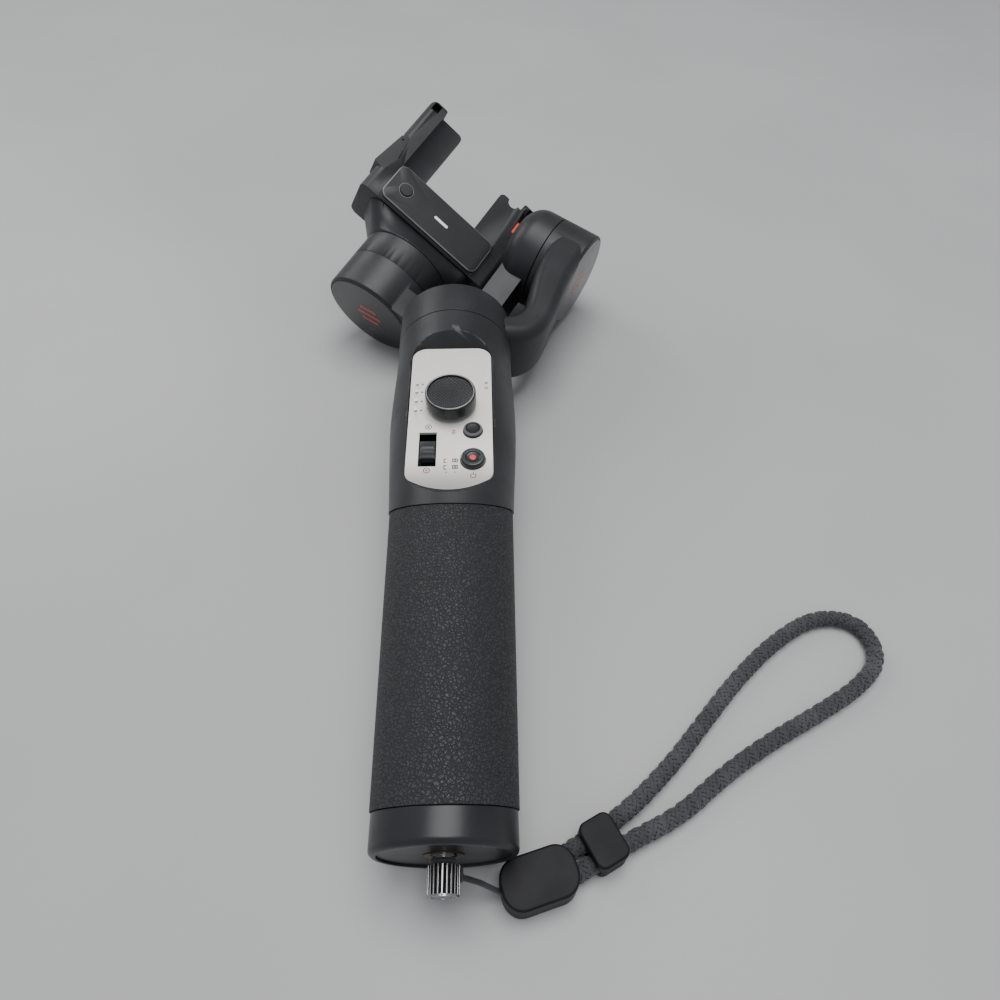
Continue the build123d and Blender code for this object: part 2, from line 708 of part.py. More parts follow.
# ---------------------------------------------------------------- roll link
ROLL_NECK_ROUND = 9.0
roll_neck_length = ROLL_SEAM - ROLL_NECK_START
roll_neck = rotor_neck(roll_neck_length, MOTOR_RADIUS, ROLL_NECK_ROUND)
keep(roll_neck, "roll_neck", roll_pose * roll_motor)

ROLL_BAR_HALF_WIDTH = 8.5
ROLL_BAR_INNER = 33.6        # from the crossing, along the roll axis
ROLL_BAR_OUTER = 45.0
TILT_LEG_INNER = 53.6        # from the crossing, along the tilt axis
TILT_LEG_OUTER = TILT_SEAM + HOUSING_DEPTH
TILT_LEG_HALF_WIDTH = 20.2
# What the arm must leave free for the neck that carries it.
with BuildPart() as neck_room:
    with BuildSketch(Plane.XZ):
        with BuildLine():
            Line((0, ROLL_NECK_START), (MOTOR_RADIUS - ROLL_NECK_ROUND, ROLL_NECK_START))
            TangentArc(
                (MOTOR_RADIUS - ROLL_NECK_ROUND, ROLL_NECK_START),
                (MOTOR_RADIUS, ROLL_NECK_START + ROLL_NECK_ROUND),
                tangent=(1, 0),
            )
            Polyline(
                (MOTOR_RADIUS, ROLL_NECK_START + ROLL_NECK_ROUND),
                (MOTOR_RADIUS, ROLL_SEAM),
                (0, ROLL_SEAM),
                (0, ROLL_NECK_START),
            )
        make_face()
    revolve(axis=Axis.Z)

with BuildPart() as roll_arm:
    with BuildSketch(Plane.XZ):
        with BuildLine():
            FilletPolyline(
                (14, ROLL_BAR_OUTER),
                (TILT_LEG_OUTER, ROLL_BAR_OUTER),
                (TILT_LEG_OUTER, TILT_OFFSET),
                (TILT_LEG_INNER, TILT_OFFSET),
                (TILT_LEG_INNER, ROLL_BAR_INNER),
                (14, ROLL_BAR_INNER),
                radius=[13.0, 0.5, 0.5, 7.0],
            )
            Line((14, ROLL_BAR_INNER), (14, ROLL_BAR_OUTER))
        make_face()
    extrude(amount=MOTOR_RADIUS, both=True)
    # The leg widens to the tilt motor's own width.
    with BuildSketch(Plane.YZ):
        Polygon(
            (-ROLL_BAR_HALF_WIDTH, 60),
            (-ROLL_BAR_HALF_WIDTH, ROLL_BAR_INNER),
            (-TILT_LEG_HALF_WIDTH, TILT_OFFSET - 1),
            (TILT_LEG_HALF_WIDTH, TILT_OFFSET - 1),
            (ROLL_BAR_HALF_WIDTH, ROLL_BAR_INNER),
            (ROLL_BAR_HALF_WIDTH, 60),
            align=None,
        )
    extrude(amount=80, mode=Mode.INTERSECT)
    add(cup_room.part.moved(tilt_motor_on_arm), mode=Mode.SUBTRACT)
    add(neck_room.part, mode=Mode.SUBTRACT)
    add(motor_cup.part.moved(tilt_motor_on_arm))
keep(roll_arm, "roll_arm", roll_pose)
keep(motor_cap(), "tilt_cap", roll_pose * tilt_motor_on_arm)

# ---------------------------------------------------------------- tilt link: neck and camera clamp
TILT_NECK_START = 37.0
LEFT_WALL = CLAMP_MIDDLE - BAY_HEIGHT / 2
RIGHT_WALL = CLAMP_MIDDLE + BAY_HEIGHT / 2
CLAMP_Y_MIDDLE = (CLAMP_BACK + RIM_FACE) / 2

with BuildPart() as tilt_neck:
    with BuildSketch(Plane.XY.offset(BOX_FAR)):
        with Locations((CLAMP_MIDDLE, CLAMP_Y_MIDDLE)):
            RectangleRounded(56, 23, 6)
    with BuildSketch(Plane.XY.offset(TILT_NECK_START)):
        Circle(MOTOR_RADIUS)
    loft()
    add(rotor_neck(TILT_SEAM - TILT_NECK_START, MOTOR_RADIUS).part.moved(tilt_motor))
    with BuildSketch(Plane.XY.offset(TILT_NECK_START - 0.5)):
        Circle(SHAFT_RADIUS + 0.02)
    extrude(amount=4, mode=Mode.SUBTRACT)
keep(tilt_neck, "tilt_neck", tilt_pose)


def block_between(low, high, radius=0.0, sides=(0, -1)):
    """A rectangular block between two corners, its edges along z rounded on the sides asked for."""
    with BuildPart() as block:
        size = Vector(high) - Vector(low)
        with Locations((Vector(high) + Vector(low)) / 2):
            Box(*size)
        if radius:
            for side in sides:
                fillet(block.edges().filter_by(Axis.Z).group_by(Axis.X)[side], radius)
    return block.part


CLAMP_ROUND = 3.4
LEFT_END = LEFT_WALL - ARM_WIDTH
RIGHT_END = RIGHT_WALL + ARM_WIDTH
arm_end = BOX_NEAR + 1
clamp_box = block_between((LEFT_END, CLAMP_BACK, BOX_NEAR), (RIGHT_END, RIM_FACE, BOX_FAR), CLAMP_ROUND)
long_arm = block_between((LEFT_END, CLAMP_BACK, LONG_ARM), (LEFT_WALL, RIM_FACE, arm_end), CLAMP_ROUND, (0,))
short_arm = block_between((RIGHT_WALL, CLAMP_BACK, SHORT_ARM), (RIGHT_END, RIM_FACE, arm_end), CLAMP_ROUND, (-1,))
flange_low = FLANGE_FACE - FLANGE_THICK
left_flange_end = LEFT_WALL + FLANGE_WIDTH
right_flange_start = RIGHT_WALL - FLANGE_WIDTH
LEVER_PIVOT = (LEFT_WALL - 6.6, -4.0)
LEVER_FACE = RIM_FACE - 2.2
LEVER_HEIGHT = 11.0
PAD_THICK = 0.8
PIN_RADIUS = 0.85
PIN_LENGTH = 16.0

with BuildPart() as clamp_body:
    add(clamp_box)
    add(long_arm)
    add(short_arm)
    fillet(clamp_body.edges().filter_by(Axis.Y).group_by(Axis.Z)[0], 3.0)
    fillet(clamp_body.edges().filter_by(Axis.Y).filter_by_position(Axis.Z, SHORT_ARM - 0.1, SHORT_ARM + 0.1), 2.6)
    add(block_between((LEFT_WALL - 1, flange_low, LONG_ARM + 3), (left_flange_end, FLANGE_FACE, arm_end)))
    add(block_between((right_flange_start, flange_low, SHORT_ARM + 2), (RIGHT_WALL + 1, FLANGE_FACE, arm_end)))
    # The flanges' free corners are rounded.
    free_corners = clamp_body.edges().filter_by(Axis.Y).filter_by_position(Axis.Y, flange_low, FLANGE_FACE)
    fillet(free_corners.filter_by_position(Axis.X, left_flange_end - 0.1, right_flange_start + 0.1), 2.4)
    # Raised seat of the face plate, and the room for the clamp's board under it.
    seat_near = BOX_NEAR + 0.4
    seat_low = (LEFT_WALL, 8, seat_near)
    seat_high = (RIGHT_WALL, PLATE_FACE - PLATE_THICK, seat_near + PLATE_DEPTH)
    add(block_between(seat_low, seat_high))
    room_low = (LEFT_WALL + 3, 1.0, BOX_NEAR + 3)
    room_high = (RIGHT_WALL - 3, PLATE_FACE, BOX_NEAR + PLATE_DEPTH - 2)
    add(block_between(room_low, room_high), mode=Mode.SUBTRACT)
    # A notch near the tip of the short arm's flange, and the sockets at both tips.
    with BuildSketch(Plane.XZ.offset(-FLANGE_FACE - 1)):
        with Locations((RIGHT_WALL - 4.4, SHORT_ARM + 2)):
            Circle(2.6)
    extrude(amount=5, mode=Mode.SUBTRACT)
    with BuildSketch(Plane.XZ.offset(-RIM_FACE - 1)):
        with Locations((LEFT_WALL - 4.8, LONG_ARM + 4.2), (RIGHT_WALL + 4.8, SHORT_ARM + 3.4)):
            Rectangle(3.6, 4.4)
    extrude(amount=5, mode=Mode.SUBTRACT)
    # Pocket for the latch and recess for the release lever.
    add(block_between((RIGHT_WALL + 2.0, 3, -17.4), (RIGHT_END + 1, RIM_FACE + 1, -6.0)), mode=Mode.SUBTRACT)
    with BuildSketch(Plane.XZ.offset(-RIM_FACE - 1)):
        with BuildLine():
            Polyline(
                (LEFT_WALL - ARM_WIDTH - 1, -8.6),
                (LEFT_WALL - 4.2, -4.4),
                (LEFT_WALL - 3.0, 5.0),
                (LEFT_WALL - 4.6, 14.0),
                (LEFT_WALL - ARM_WIDTH - 1, 14.8),
                close=True,
            )
        make_face()
    extrude(amount=16, mode=Mode.SUBTRACT)
    with BuildSketch(Plane.XZ.offset(-LEVER_FACE)):
        with Locations(LEVER_PIVOT):
            Circle(PIN_RADIUS + 0.01)
    extrude(amount=PIN_LENGTH, mode=Mode.SUBTRACT)
keep(clamp_body, "clamp_body", tilt_pose)

plate_plane = Plane(origin=(0, PLATE_FACE, 0), x_dir=(1, 0, 0), z_dir=(0, 1, 0))
with BuildPart() as clamp_plate:
    with BuildSketch(plate_plane):
        with Locations((CLAMP_MIDDLE, -(BOX_NEAR + 0.4 + PLATE_DEPTH / 2))):
            RectangleRounded(BAY_HEIGHT, PLATE_DEPTH, 3.4)
        with Locations((FUNCTION_AT[0], -FUNCTION_AT[1])):
            Circle(FUNCTION_RADIUS + BUTTON_GAP, mode=Mode.SUBTRACT)
        with Locations((CLAMP_MIDDLE + 1.4, -FUNCTION_AT[1])):
            SlotOverall(7.4, 1.5, mode=Mode.SUBTRACT)
    extrude(amount=-PLATE_THICK)
    chamfer(clamp_plate.faces().sort_by(Axis.Y)[-1].outer_wire().edges(), 0.45)
keep(clamp_plate, "clamp_plate", tilt_pose)

with BuildPart() as clamp_light:
    with BuildSketch(plate_plane.offset(-0.2)):
        with Locations((CLAMP_MIDDLE + 1.4, -FUNCTION_AT[1])):
            SlotOverall(7.2, 1.3)
    extrude(amount=-1.6)
keep(clamp_light, "clamp_light", tilt_pose)

with BuildPart() as function_key:
    with BuildSketch(plate_plane.offset(-PLATE_THICK - 1.6)):
        with Locations((FUNCTION_AT[0], -FUNCTION_AT[1])):
            Circle(FUNCTION_RADIUS + 0.7)
    extrude(amount=0.7)
    with BuildSketch(plate_plane.offset(-PLATE_THICK - 1.6)):
        with Locations((FUNCTION_AT[0], -FUNCTION_AT[1])):
            Circle(FUNCTION_RADIUS)
    extrude(amount=PLATE_THICK + 2.2)
    fillet(function_key.faces().sort_by(Axis.Y)[-1].edges(), 0.3)
keep(function_key, "function_key", tilt_pose)

with BuildPart() as clamp_board:
    with BuildSketch(plate_plane.offset(-PLATE_THICK - 5)):
        with Locations((CLAMP_MIDDLE, -(BOX_NEAR + 9.5))):
            Rectangle(44, 12)
    extrude(amount=-1.2)
    with BuildSketch(plate_plane.offset(-PLATE_THICK - 5)):
        with Locations((FUNCTION_AT[0], -FUNCTION_AT[1])):
            Rectangle(4.4, 4.4)
    extrude(amount=2.0)
keep(clamp_board, "clamp_board", tilt_pose)

with BuildPart() as clamp_pads:
    pad_high = (flange_low - 2, BOX_NEAR - 4)
    add(block_between((LEFT_WALL, CLAMP_BACK + 3, LONG_ARM + 8), (LEFT_WALL + PAD_THICK, *pad_high)))
    add(block_between((RIGHT_WALL - PAD_THICK, CLAMP_BACK + 3, SHORT_ARM + 6), (RIGHT_WALL, *pad_high)))
keep(clamp_pads, "clamp_pads", tilt_pose)

with BuildPart() as latch:
    add(block_between((RIGHT_WALL + 2.3, 3.3, -14.6), (RIGHT_END, RIM_FACE - 0.2, -6.3)))
    fillet(latch.edges().filter_by(Axis.Z).group_by(Axis.X)[-1].sort_by(Axis.Y)[-1], 3.0)
    chamfer(latch.edges().filter_by(Axis.X).group_by(Axis.Y)[-1].sort_by(Axis.Z)[0], 2.6)
keep(latch, "latch", tilt_pose)

with BuildPart() as release_lever:
    with BuildSketch(Plane.XZ.offset(-LEVER_FACE)):
        with BuildLine():
            Polyline(
                (LEFT_WALL - ARM_WIDTH, -6.4),
                (LEFT_WALL - 4.9, -3.0),
                (LEFT_WALL - 3.5, 5.0),
                (LEFT_WALL - 5.2, 13.4),
                (LEFT_WALL - ARM_WIDTH - 2.2, 12.6),
                close=True,
            )
        make_face()
    extrude(amount=LEVER_HEIGHT)
    fillet(release_lever.edges().filter_by(Axis.Y), 0.5)
    with BuildSketch(Plane.XZ.offset(-LEVER_FACE)):
        with Locations(LEVER_PIVOT):
            Circle(PIN_RADIUS + 0.05)
    extrude(amount=LEVER_HEIGHT, mode=Mode.SUBTRACT)
keep(release_lever, "release_lever", tilt_pose)

with BuildPart() as lever_pin:
    with BuildSketch(Plane.XZ.offset(-LEVER_FACE)):
        with Locations(LEVER_PIVOT):
            Circle(PIN_RADIUS)
    extrude(amount=PIN_LENGTH)
    with BuildSketch(Plane.XZ.offset(-LEVER_FACE)):
        with Locations(LEVER_PIVOT):
            Circle(PIN_RADIUS)
    extrude(amount=0.5, mode=Mode.SUBTRACT)
keep(lever_pin, "lever_pin", tilt_pose)

# ---------------------------------------------------------------- strap screw
SCREW_HEAD_RADIUS = 3.9
SCREW_FLUTES = 22
with BuildPart() as strap_screw:
    Cylinder(3.0, 7.4, align=(Align.CENTER, Align.CENTER, Align.MIN))
    with Locations((0, 0, -1.7)):
        Cylinder(2.2, 1.7, align=(Align.CENTER, Align.CENTER, Align.MIN))
    with BuildSketch(Plane.XY.offset(-1.7)):
        Circle(SCREW_HEAD_RADIUS)
        with PolarLocations(SCREW_HEAD_RADIUS + 0.12, SCREW_FLUTES):
            Circle(0.42, mode=Mode.SUBTRACT)
    extrude(amount=-6.2)
    with BuildSketch(Plane.XY.offset(-7.9)):
        Circle(SCREW_HEAD_RADIUS - 0.1)
        Circle(SCREW_HEAD_RADIUS - 1.0, mode=Mode.SUBTRACT)
    extrude(amount=-0.5)
keep(strap_screw, "strap_screw", handle_pose)

# ---------------------------------------------------------------- wrist strap, on the table
heading = (cos(radians(STRAP_HEADING)), sin(radians(STRAP_HEADING)))
side = (-heading[1], heading[0])


def beside_adjuster(along, across, height=STRAND_HEIGHT):
    """A point given along and across the strap's heading from the adjuster's middle."""
    return (
        ADJUSTER_AT[0] + along * heading[0] + across * side[0],
        ADJUSTER_AT[1] + along * heading[1] + across * side[1],
        height,
    )


half_spacing = STRAND_SPACING / 2
cord_radius = CORD_DIAMETER / 2
LYING = cord_radius + 0.15
STRAP_POINTS = [
    beside_adjuster(-10.6, half_spacing),
    beside_adjuster(6.4, half_spacing),
    (62.5, 24.6, LYING),
    (74.0, 36.6, LYING),
    (87.0, 50.0, LYING),
    (102.0, 62.6, LYING),
    (118.0, 71.6, LYING),
    (131.6, 69.2, LYING),
    (134.0, 56.4, LYING),
    (124.6, 47.2, LYING),
    (109.0, 38.8, LYING),
    (92.4, 30.8, LYING),
    (76.4, 21.4, LYING),
    (62.6, 11.2, LYING),
    beside_adjuster(6.4, -half_spacing),
    beside_adjuster(-10.6, -half_spacing),
]
STRING_POINTS = [
    (4.6, -5.0, 14.6),
    (8.4, -5.6, 12.4),
    (11.0, -6.2, 8.8),
    (14.6, -7.0, 5.2),
]


def corner_radii(points):
    """The arc at each corner of a route: as large as its two runs allow."""
    radii = []
    for before, here, after in zip(points, points[1:], points[2:]):
        run_in = Vector(here) - Vector(before)
        run_out = Vector(after) - Vector(here)
        turn = run_in.get_angle(run_out)
        radii.append(0.45 * min(run_in.length, run_out.length) / tan(radians(turn / 2)))
    return radii


def cord_tube(points, diameter, name):
    """A cord's tube along a route of straight runs and tangent arcs."""
    radii = corner_radii(points)
    with BuildPart() as tube:
        with BuildLine():
            route = FilletPolyline(*points, radius=radii)
        with BuildSketch(Plane(origin=route @ 0, z_dir=route % 0)):
            Circle(diameter / 2)
        sweep(path=route)
    length = route.length
    print(name, "length", round(length, 1), "smallest radii", [round(radius, 1) for radius in radii])
    section = pi * diameter**2 / 4
    print(name, "volume over section times length", round(tube.part.volume / (section * length), 4))
    return tube


no_turn = Location((0, 0, 0))
keep(cord_tube(STRAP_POINTS, CORD_DIAMETER, "strap_cord"), "strap_cord", no_turn, on_cord=True)
keep(cord_tube(STRING_POINTS, STRING_DIAMETER, "strap_string"), "strap_string", no_turn, on_cord=True)

strand_planes = [
    Plane(origin=beside_adjuster(-10.6, across), x_dir=(0, 0, 1), z_dir=(*heading, 0))
    for across in (half_spacing, -half_spacing)
]
block_pose = Plane(
    origin=(*BLOCK_AT, BLOCK_SIZE[2] / 2 + 0.1),
    x_dir=(cos(radians(BLOCK_HEADING)), sin(radians(BLOCK_HEADING)), 0),
    z_dir=(0, 0, 1),
)
with BuildPart() as strap_block:
    with BuildSketch(block_pose.offset(-BLOCK_SIZE[2] / 2)):
        RectangleRounded(BLOCK_SIZE[0], BLOCK_SIZE[1], 5.2)
    extrude(amount=BLOCK_SIZE[2])
    fillet(strap_block.edges().group_by(Axis.Z)[-1], 0.7)
    fillet(strap_block.edges().group_by(Axis.Z)[0], 0.7)
    for strand_plane in strand_planes:
        with BuildSketch(strand_plane):
            Circle(cord_radius + 0.1)
        extrude(amount=14, mode=Mode.SUBTRACT)
    string_end = Vector(STRING_POINTS[-1])
    with BuildSketch(Plane(origin=string_end, z_dir=Vector(STRING_POINTS[-2]) - string_end)):
        Circle(STRING_DIAMETER / 2 + 0.1)
    extrude(amount=6, mode=Mode.SUBTRACT)
keep(strap_block, "strap_block", no_turn, on_cord=True)

adjuster_plane = Plane(
    origin=beside_adjuster(0, 0, ADJUSTER_SIZE[2] / 2 + 0.1),
    x_dir=(*heading, 0),
    z_dir=(0, 0, 1),
)
with BuildPart() as strap_adjuster:
    with BuildSketch(adjuster_plane.offset(-ADJUSTER_SIZE[2] / 2)):
        RectangleRounded(ADJUSTER_SIZE[0], ADJUSTER_SIZE[1], 2.4)
    extrude(amount=ADJUSTER_SIZE[2])
    fillet(strap_adjuster.edges().group_by(Axis.Z)[-1], 0.7)
    fillet(strap_adjuster.edges().group_by(Axis.Z)[0], 0.7)
    for strand_plane in strand_planes:
        with BuildSketch(strand_plane):
            Circle(cord_radius + 0.4)
        extrude(amount=20, mode=Mode.SUBTRACT)
keep(strap_adjuster, "strap_adjuster", no_turn, on_cord=True)

# ---------------------------------------------------------------- origin and files
# The origin is the middle of the lying object's footprint, without the strap's cord pieces.
boxes = [placed.bounding_box() for placed, on_cord in finished if not on_cord]
low = [min(tuple(box.min)[i] for box in boxes) for i in range(3)]
high = [max(tuple(box.max)[i] for box in boxes) for i in range(3)]
shift = (-(low[0] + high[0]) / 2, -(low[1] + high[1]) / 2)
print("shift", [round(value, 4) for value in shift], "low", low, "high", high)
for placed, on_cord in finished:
    down = 0.0 if on_cord else -low[2]
    moved = placed.moved(Location((*shift, down)))
    moved.label = placed.label
    export_step(moved, f"parts/{placed.label}.step")
print(len(finished), "nodes")
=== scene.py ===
import json
import logging
from dataclasses import dataclass
from enum import Enum
from math import cos, pi, radians, sin, tau
from typing import Any, Sequence

import bmesh
import bpy
import numpy as np
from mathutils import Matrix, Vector


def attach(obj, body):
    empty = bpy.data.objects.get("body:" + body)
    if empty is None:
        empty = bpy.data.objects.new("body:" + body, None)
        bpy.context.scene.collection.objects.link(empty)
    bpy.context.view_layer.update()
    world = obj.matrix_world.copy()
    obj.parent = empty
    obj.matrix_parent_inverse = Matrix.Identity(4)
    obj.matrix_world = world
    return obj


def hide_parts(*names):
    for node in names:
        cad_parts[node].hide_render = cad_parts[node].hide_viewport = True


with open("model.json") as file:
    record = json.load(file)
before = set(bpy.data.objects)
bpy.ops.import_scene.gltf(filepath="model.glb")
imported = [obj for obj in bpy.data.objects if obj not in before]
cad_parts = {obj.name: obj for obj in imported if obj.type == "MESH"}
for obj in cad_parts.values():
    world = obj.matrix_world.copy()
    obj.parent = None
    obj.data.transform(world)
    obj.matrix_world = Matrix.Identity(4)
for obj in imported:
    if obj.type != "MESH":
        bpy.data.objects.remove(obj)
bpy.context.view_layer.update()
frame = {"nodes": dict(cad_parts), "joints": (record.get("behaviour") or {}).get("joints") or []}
LOG = logging.getLogger("gimbal")
MM = 0.001
CORNERS = np.array([[-1.0, -1.0], [1.0, -1.0], [1.0, 1.0], [-1.0, 1.0]])
SAME_POINT = 4e-6            # vertices of a carried-over node closer than this are one, in metres
FILM_ROOT = 0.05             # how far a printed film reaches into what it lies on, in millimetres
FLAT_EDGE = 24.0             # a carried-over node's edges that turn more than this stay sharp, in degrees
JOINTS = {joint["name"]: joint for joint in frame["joints"]}


# ---------------------------------------------------------------- design frames
def unit(vector: Sequence[float]) -> np.ndarray:
    """A vector's direction, as an array of length one."""
    array = np.asarray(vector, float)
    return array / np.linalg.norm(array)


@dataclass(frozen=True)
class Place:
    """A design frame: millimetres in, metres of the row frame out."""

    origin: np.ndarray
    x: np.ndarray
    z: np.ndarray

    @property
    def axes(self) -> np.ndarray:
        """The three axes as rows, y being z cross x."""
        return np.array([self.x, np.cross(self.z, self.x), self.z])

    def put(self, points: np.ndarray) -> np.ndarray:
        """Carry points of this frame, in millimetres, into the row frame in metres."""
        return self.origin + np.asarray(points, float) @ self.axes * MM

    def within(
        self, origin: Sequence[float], x: Sequence[float] = (1, 0, 0), z: Sequence[float] = (0, 0, 1)
    ) -> "Place":
        """A frame given by its origin and axes in this one.

        Args:
            origin: its origin, in millimetres of this frame.
            x: its x axis, in this frame.
            z: its z axis, in this frame.

        Returns:
            The new frame.
        """
        return Place(self.put(np.array(origin)), unit(x) @ self.axes, unit(z) @ self.axes)


def joint_place(name: str, x: Sequence[float], back: float) -> Place:
    """A frame on a hinge's axis.

    Args:
        name: the joint whose axis is the frame's z.
        x: a direction near the frame's x, squared up against the axis.
        back: how far behind the joint's own point the origin lies, in millimetres.

    Returns:
        The frame at rest.
    """
    z = unit(JOINTS[name]["axis"])
    across = np.asarray(x, float)
    across = unit(across - z * float(across @ z))
    return Place(np.asarray(JOINTS[name]["pos_m"], float) - z * back * MM, across, z)


PAN_POINT = 188.0            # the pan joint's point, along the handle from its base end
ROLL_SEAM = 47.3             # the roll and tilt joints' points, from where the axes cross
TILT_SEAM = 48.7
INWARD = np.asarray(JOINTS["mode_press"]["axis"], float)
PLATE_OUT = -np.asarray(JOINTS["function_press"]["axis"], float)

HANDLE = joint_place("pan", np.cross(INWARD, JOINTS["pan"]["axis"]), PAN_POINT)
ROLL = joint_place("roll", JOINTS["tilt"]["axis"], ROLL_SEAM)
TILT = joint_place("tilt", np.cross(PLATE_OUT, JOINTS["tilt"]["axis"]), TILT_SEAM)
PANEL_FACE = 16.4
PANEL = HANDLE.within((0, -PANEL_FACE, 0), (1, 0, 0), (0, -1, 0))
PAN_ROLL = Place(ROLL.origin, unit(np.cross(np.cross(ROLL.z, HANDLE.z), ROLL.z)), ROLL.z)
ROLL_TILT = Place(TILT.origin, unit(ROLL.z), TILT.z)


# ---------------------------------------------------------------- shader expressions
class Value:
    """A number that varies over a surface, written as an expression of shader sockets."""

    def __init__(self, paint: "Paint", socket: bpy.types.NodeSocket) -> None:
        """Keep the material being painted and the output socket."""
        self.paint = paint
        self.socket = socket

    def _math(self, operation: str, first: Any, second: Any = 0.0) -> "Value":
        """Add one Math node for an operation on two values or numbers."""
        return self.paint.node("ShaderNodeMath", {"operation": operation}, {0: first, 1: second})

    def __add__(self, other: Any) -> "Value":
        """Sum."""
        return self._math("ADD", self, other)

    __radd__ = __add__

    def __sub__(self, other: Any) -> "Value":
        """Difference."""
        return self._math("SUBTRACT", self, other)

    def __rsub__(self, other: Any) -> "Value":
        """Difference, reflected."""
        return self._math("SUBTRACT", other, self)

    def __mul__(self, other: Any) -> "Value":
        """Product."""
        return self._math("MULTIPLY", self, other)

    __rmul__ = __mul__

    def below(self, limit: Any) -> "Value":
        """One where the value is under a limit, else zero."""
        return self._math("LESS_THAN", self, limit)

    def sine(self) -> "Value":
        """Sine of the value."""
        return self._math("SINE", self)

    def ranged(self, low: float, high: float, to_low: float = 0.0, to_high: float = 1.0) -> "Value":
        """Map one range to another, smoothly and clamped.

        Args:
            low: the value that becomes to_low.
            high: the value that becomes to_high.
            to_low: result at low.
            to_high: result at high.

        Returns:
            The mapped value.
        """
        settings = {"interpolation_type": "SMOOTHSTEP", "clamp": True}
        return self.paint.node("ShaderNodeMapRange", settings, {0: self, 1: low, 2: high, 3: to_low, 4: to_high})


Colour = tuple[float, float, float]


def scaled(tone: Colour, share: float) -> Colour:
    """A colour with its three channels times one number."""
    return tuple(channel * share for channel in tone)


class Paint:
    """One material being painted: its node tree and its principled shader."""

    def __init__(self, name: str, **constants: Any) -> None:
        """Start a material.

        Args:
            name: the material's name.
            **constants: shader sockets that are the same all over, with spaces as underscores.
        """
        self.material = bpy.data.materials.new(name)
        self.material.use_nodes = True
        self.tree = self.material.node_tree
        self.shader = self.tree.nodes["Principled BSDF"]
        for socket, value in constants.items():
            self.shader.inputs[socket.replace("_", " ")].default_value = value
        self._coordinates: Value | None = None

    def node(self, kind: str, settings: dict[str, Any], sockets: dict[Any, Any], output: Any = 0) -> Value:
        """Add a node, its settings first and then its sockets.

        Args:
            kind: the node's type.
            settings: attributes of the node.
            sockets: values or links by socket name or number.
            output: the output to return.

        Returns:
            The chosen output as a value.
        """
        made = self.tree.nodes.new(kind)
        for key, value in settings.items():
            setattr(made, key, value)
        for key, value in sockets.items():
            if isinstance(value, Value):
                self.tree.links.new(value.socket, made.inputs[key])
            else:
                made.inputs[key].default_value = value
        return Value(self, made.outputs[output])

    def feed(self, socket: str, value: Value) -> None:
        """Link a value to one of the shader's sockets."""
        self.tree.links.new(value.socket, self.shader.inputs[socket])

    def here(self, scale: Sequence[float] = (1, 1, 1), turn: Sequence[float] = (0, 0, 0)) -> Value:
        """Object coordinates, stretched and turned by a Mapping node.

        Args:
            scale: stretch along each axis.
            turn: turn about each axis.

        Returns:
            The coordinates.
        """
        if self._coordinates is None:
            self._coordinates = self.node("ShaderNodeTexCoord", {}, {}, "Object")
        sockets = {"Vector": self._coordinates, "Scale": tuple(scale), "Rotation": tuple(turn)}
        return self.node("ShaderNodeMapping", {}, sockets)

    def noise(self, scale: float, detail: float = 3.0, rough: float = 0.5, at: Value | None = None) -> Value:
        """Noise of a scale per metre, at the object's coordinates unless told otherwise."""
        sockets = {"Vector": at or self.here(), "Scale": scale, "Detail": detail, "Roughness": rough}
        return self.node("ShaderNodeTexNoise", {}, sockets, 0)

    def cells(self, scale: float, feature: str = "F1", at: Value | None = None, output: str = "Distance") -> Value:
        """Voronoi cells of a scale per metre."""
        sockets = {"Vector": at or self.here(), "Scale": scale}
        return self.node("ShaderNodeTexVoronoi", {"feature": feature}, sockets, output)

    def colour(self, amount: Value, low: Colour, high: Colour) -> Value:
        """Blend two colours by an amount."""
        sockets = {0: amount, 6: (*low, 1.0), 7: (*high, 1.0)}
        return self.node("ShaderNodeMix", {"data_type": "RGBA"}, sockets, 2)

    def over(self, amount: Value, under: Value, high: Colour) -> Value:
        """Lay a colour over a painted one by an amount."""
        return self.node("ShaderNodeMix", {"data_type": "RGBA"}, {0: amount, 6: under, 7: (*high, 1.0)}, 2)

    def bump(self, height: Value, depth: float, strength: float = 1.0, under: Value | None = None) -> Value:
        """A Bump node: height 0 to 1 over a depth in metres, on top of another bump if given.

        Args:
            height: the painted height.
            depth: its depth.
            strength: how strongly it shows.
            under: the bump below it.

        Returns:
            The bent normal.
        """
        sockets: dict[str, Any] = {"Height": height, "Distance": depth, "Strength": strength}
        if under is not None:
            sockets["Normal"] = under
        return self.node("ShaderNodeBump", {}, sockets)


# ---------------------------------------------------------------- finishes
@dataclass(frozen=True)
class Moulded:
    """Moulded plastic: spark-eroded grain, faint mottling and a slightly uneven sheen."""

    name: str
    tone: Colour = (0.0185, 0.0188, 0.0205)
    roughness: float = 0.43
    grain_per_metre: float = 5200.0
    grain_depth: float = 0.00002
    specular: float = 0.4

    def material(self) -> bpy.types.Material:
        """Paint it."""
        paint = Paint(self.name, Specular_IOR_Level=self.specular)
        mottle = paint.noise(60.0, 4.0)
        grain = paint.noise(self.grain_per_metre, 2.0, 0.6)
        lighter = scaled(self.tone, 1.28)
        darker = scaled(self.tone, 0.86)
        paint.feed("Base Color", paint.colour(mottle.ranged(0.35, 0.65), darker, lighter))
        handled = paint.noise(35.0, 5.0, 0.6).ranged(0.35, 0.7, -0.05, 0.06)
        paint.feed("Roughness", handled + grain * 0.08 + (self.roughness - 0.04))
        paint.feed("Normal", paint.bump(grain, self.grain_depth))
        return paint.material


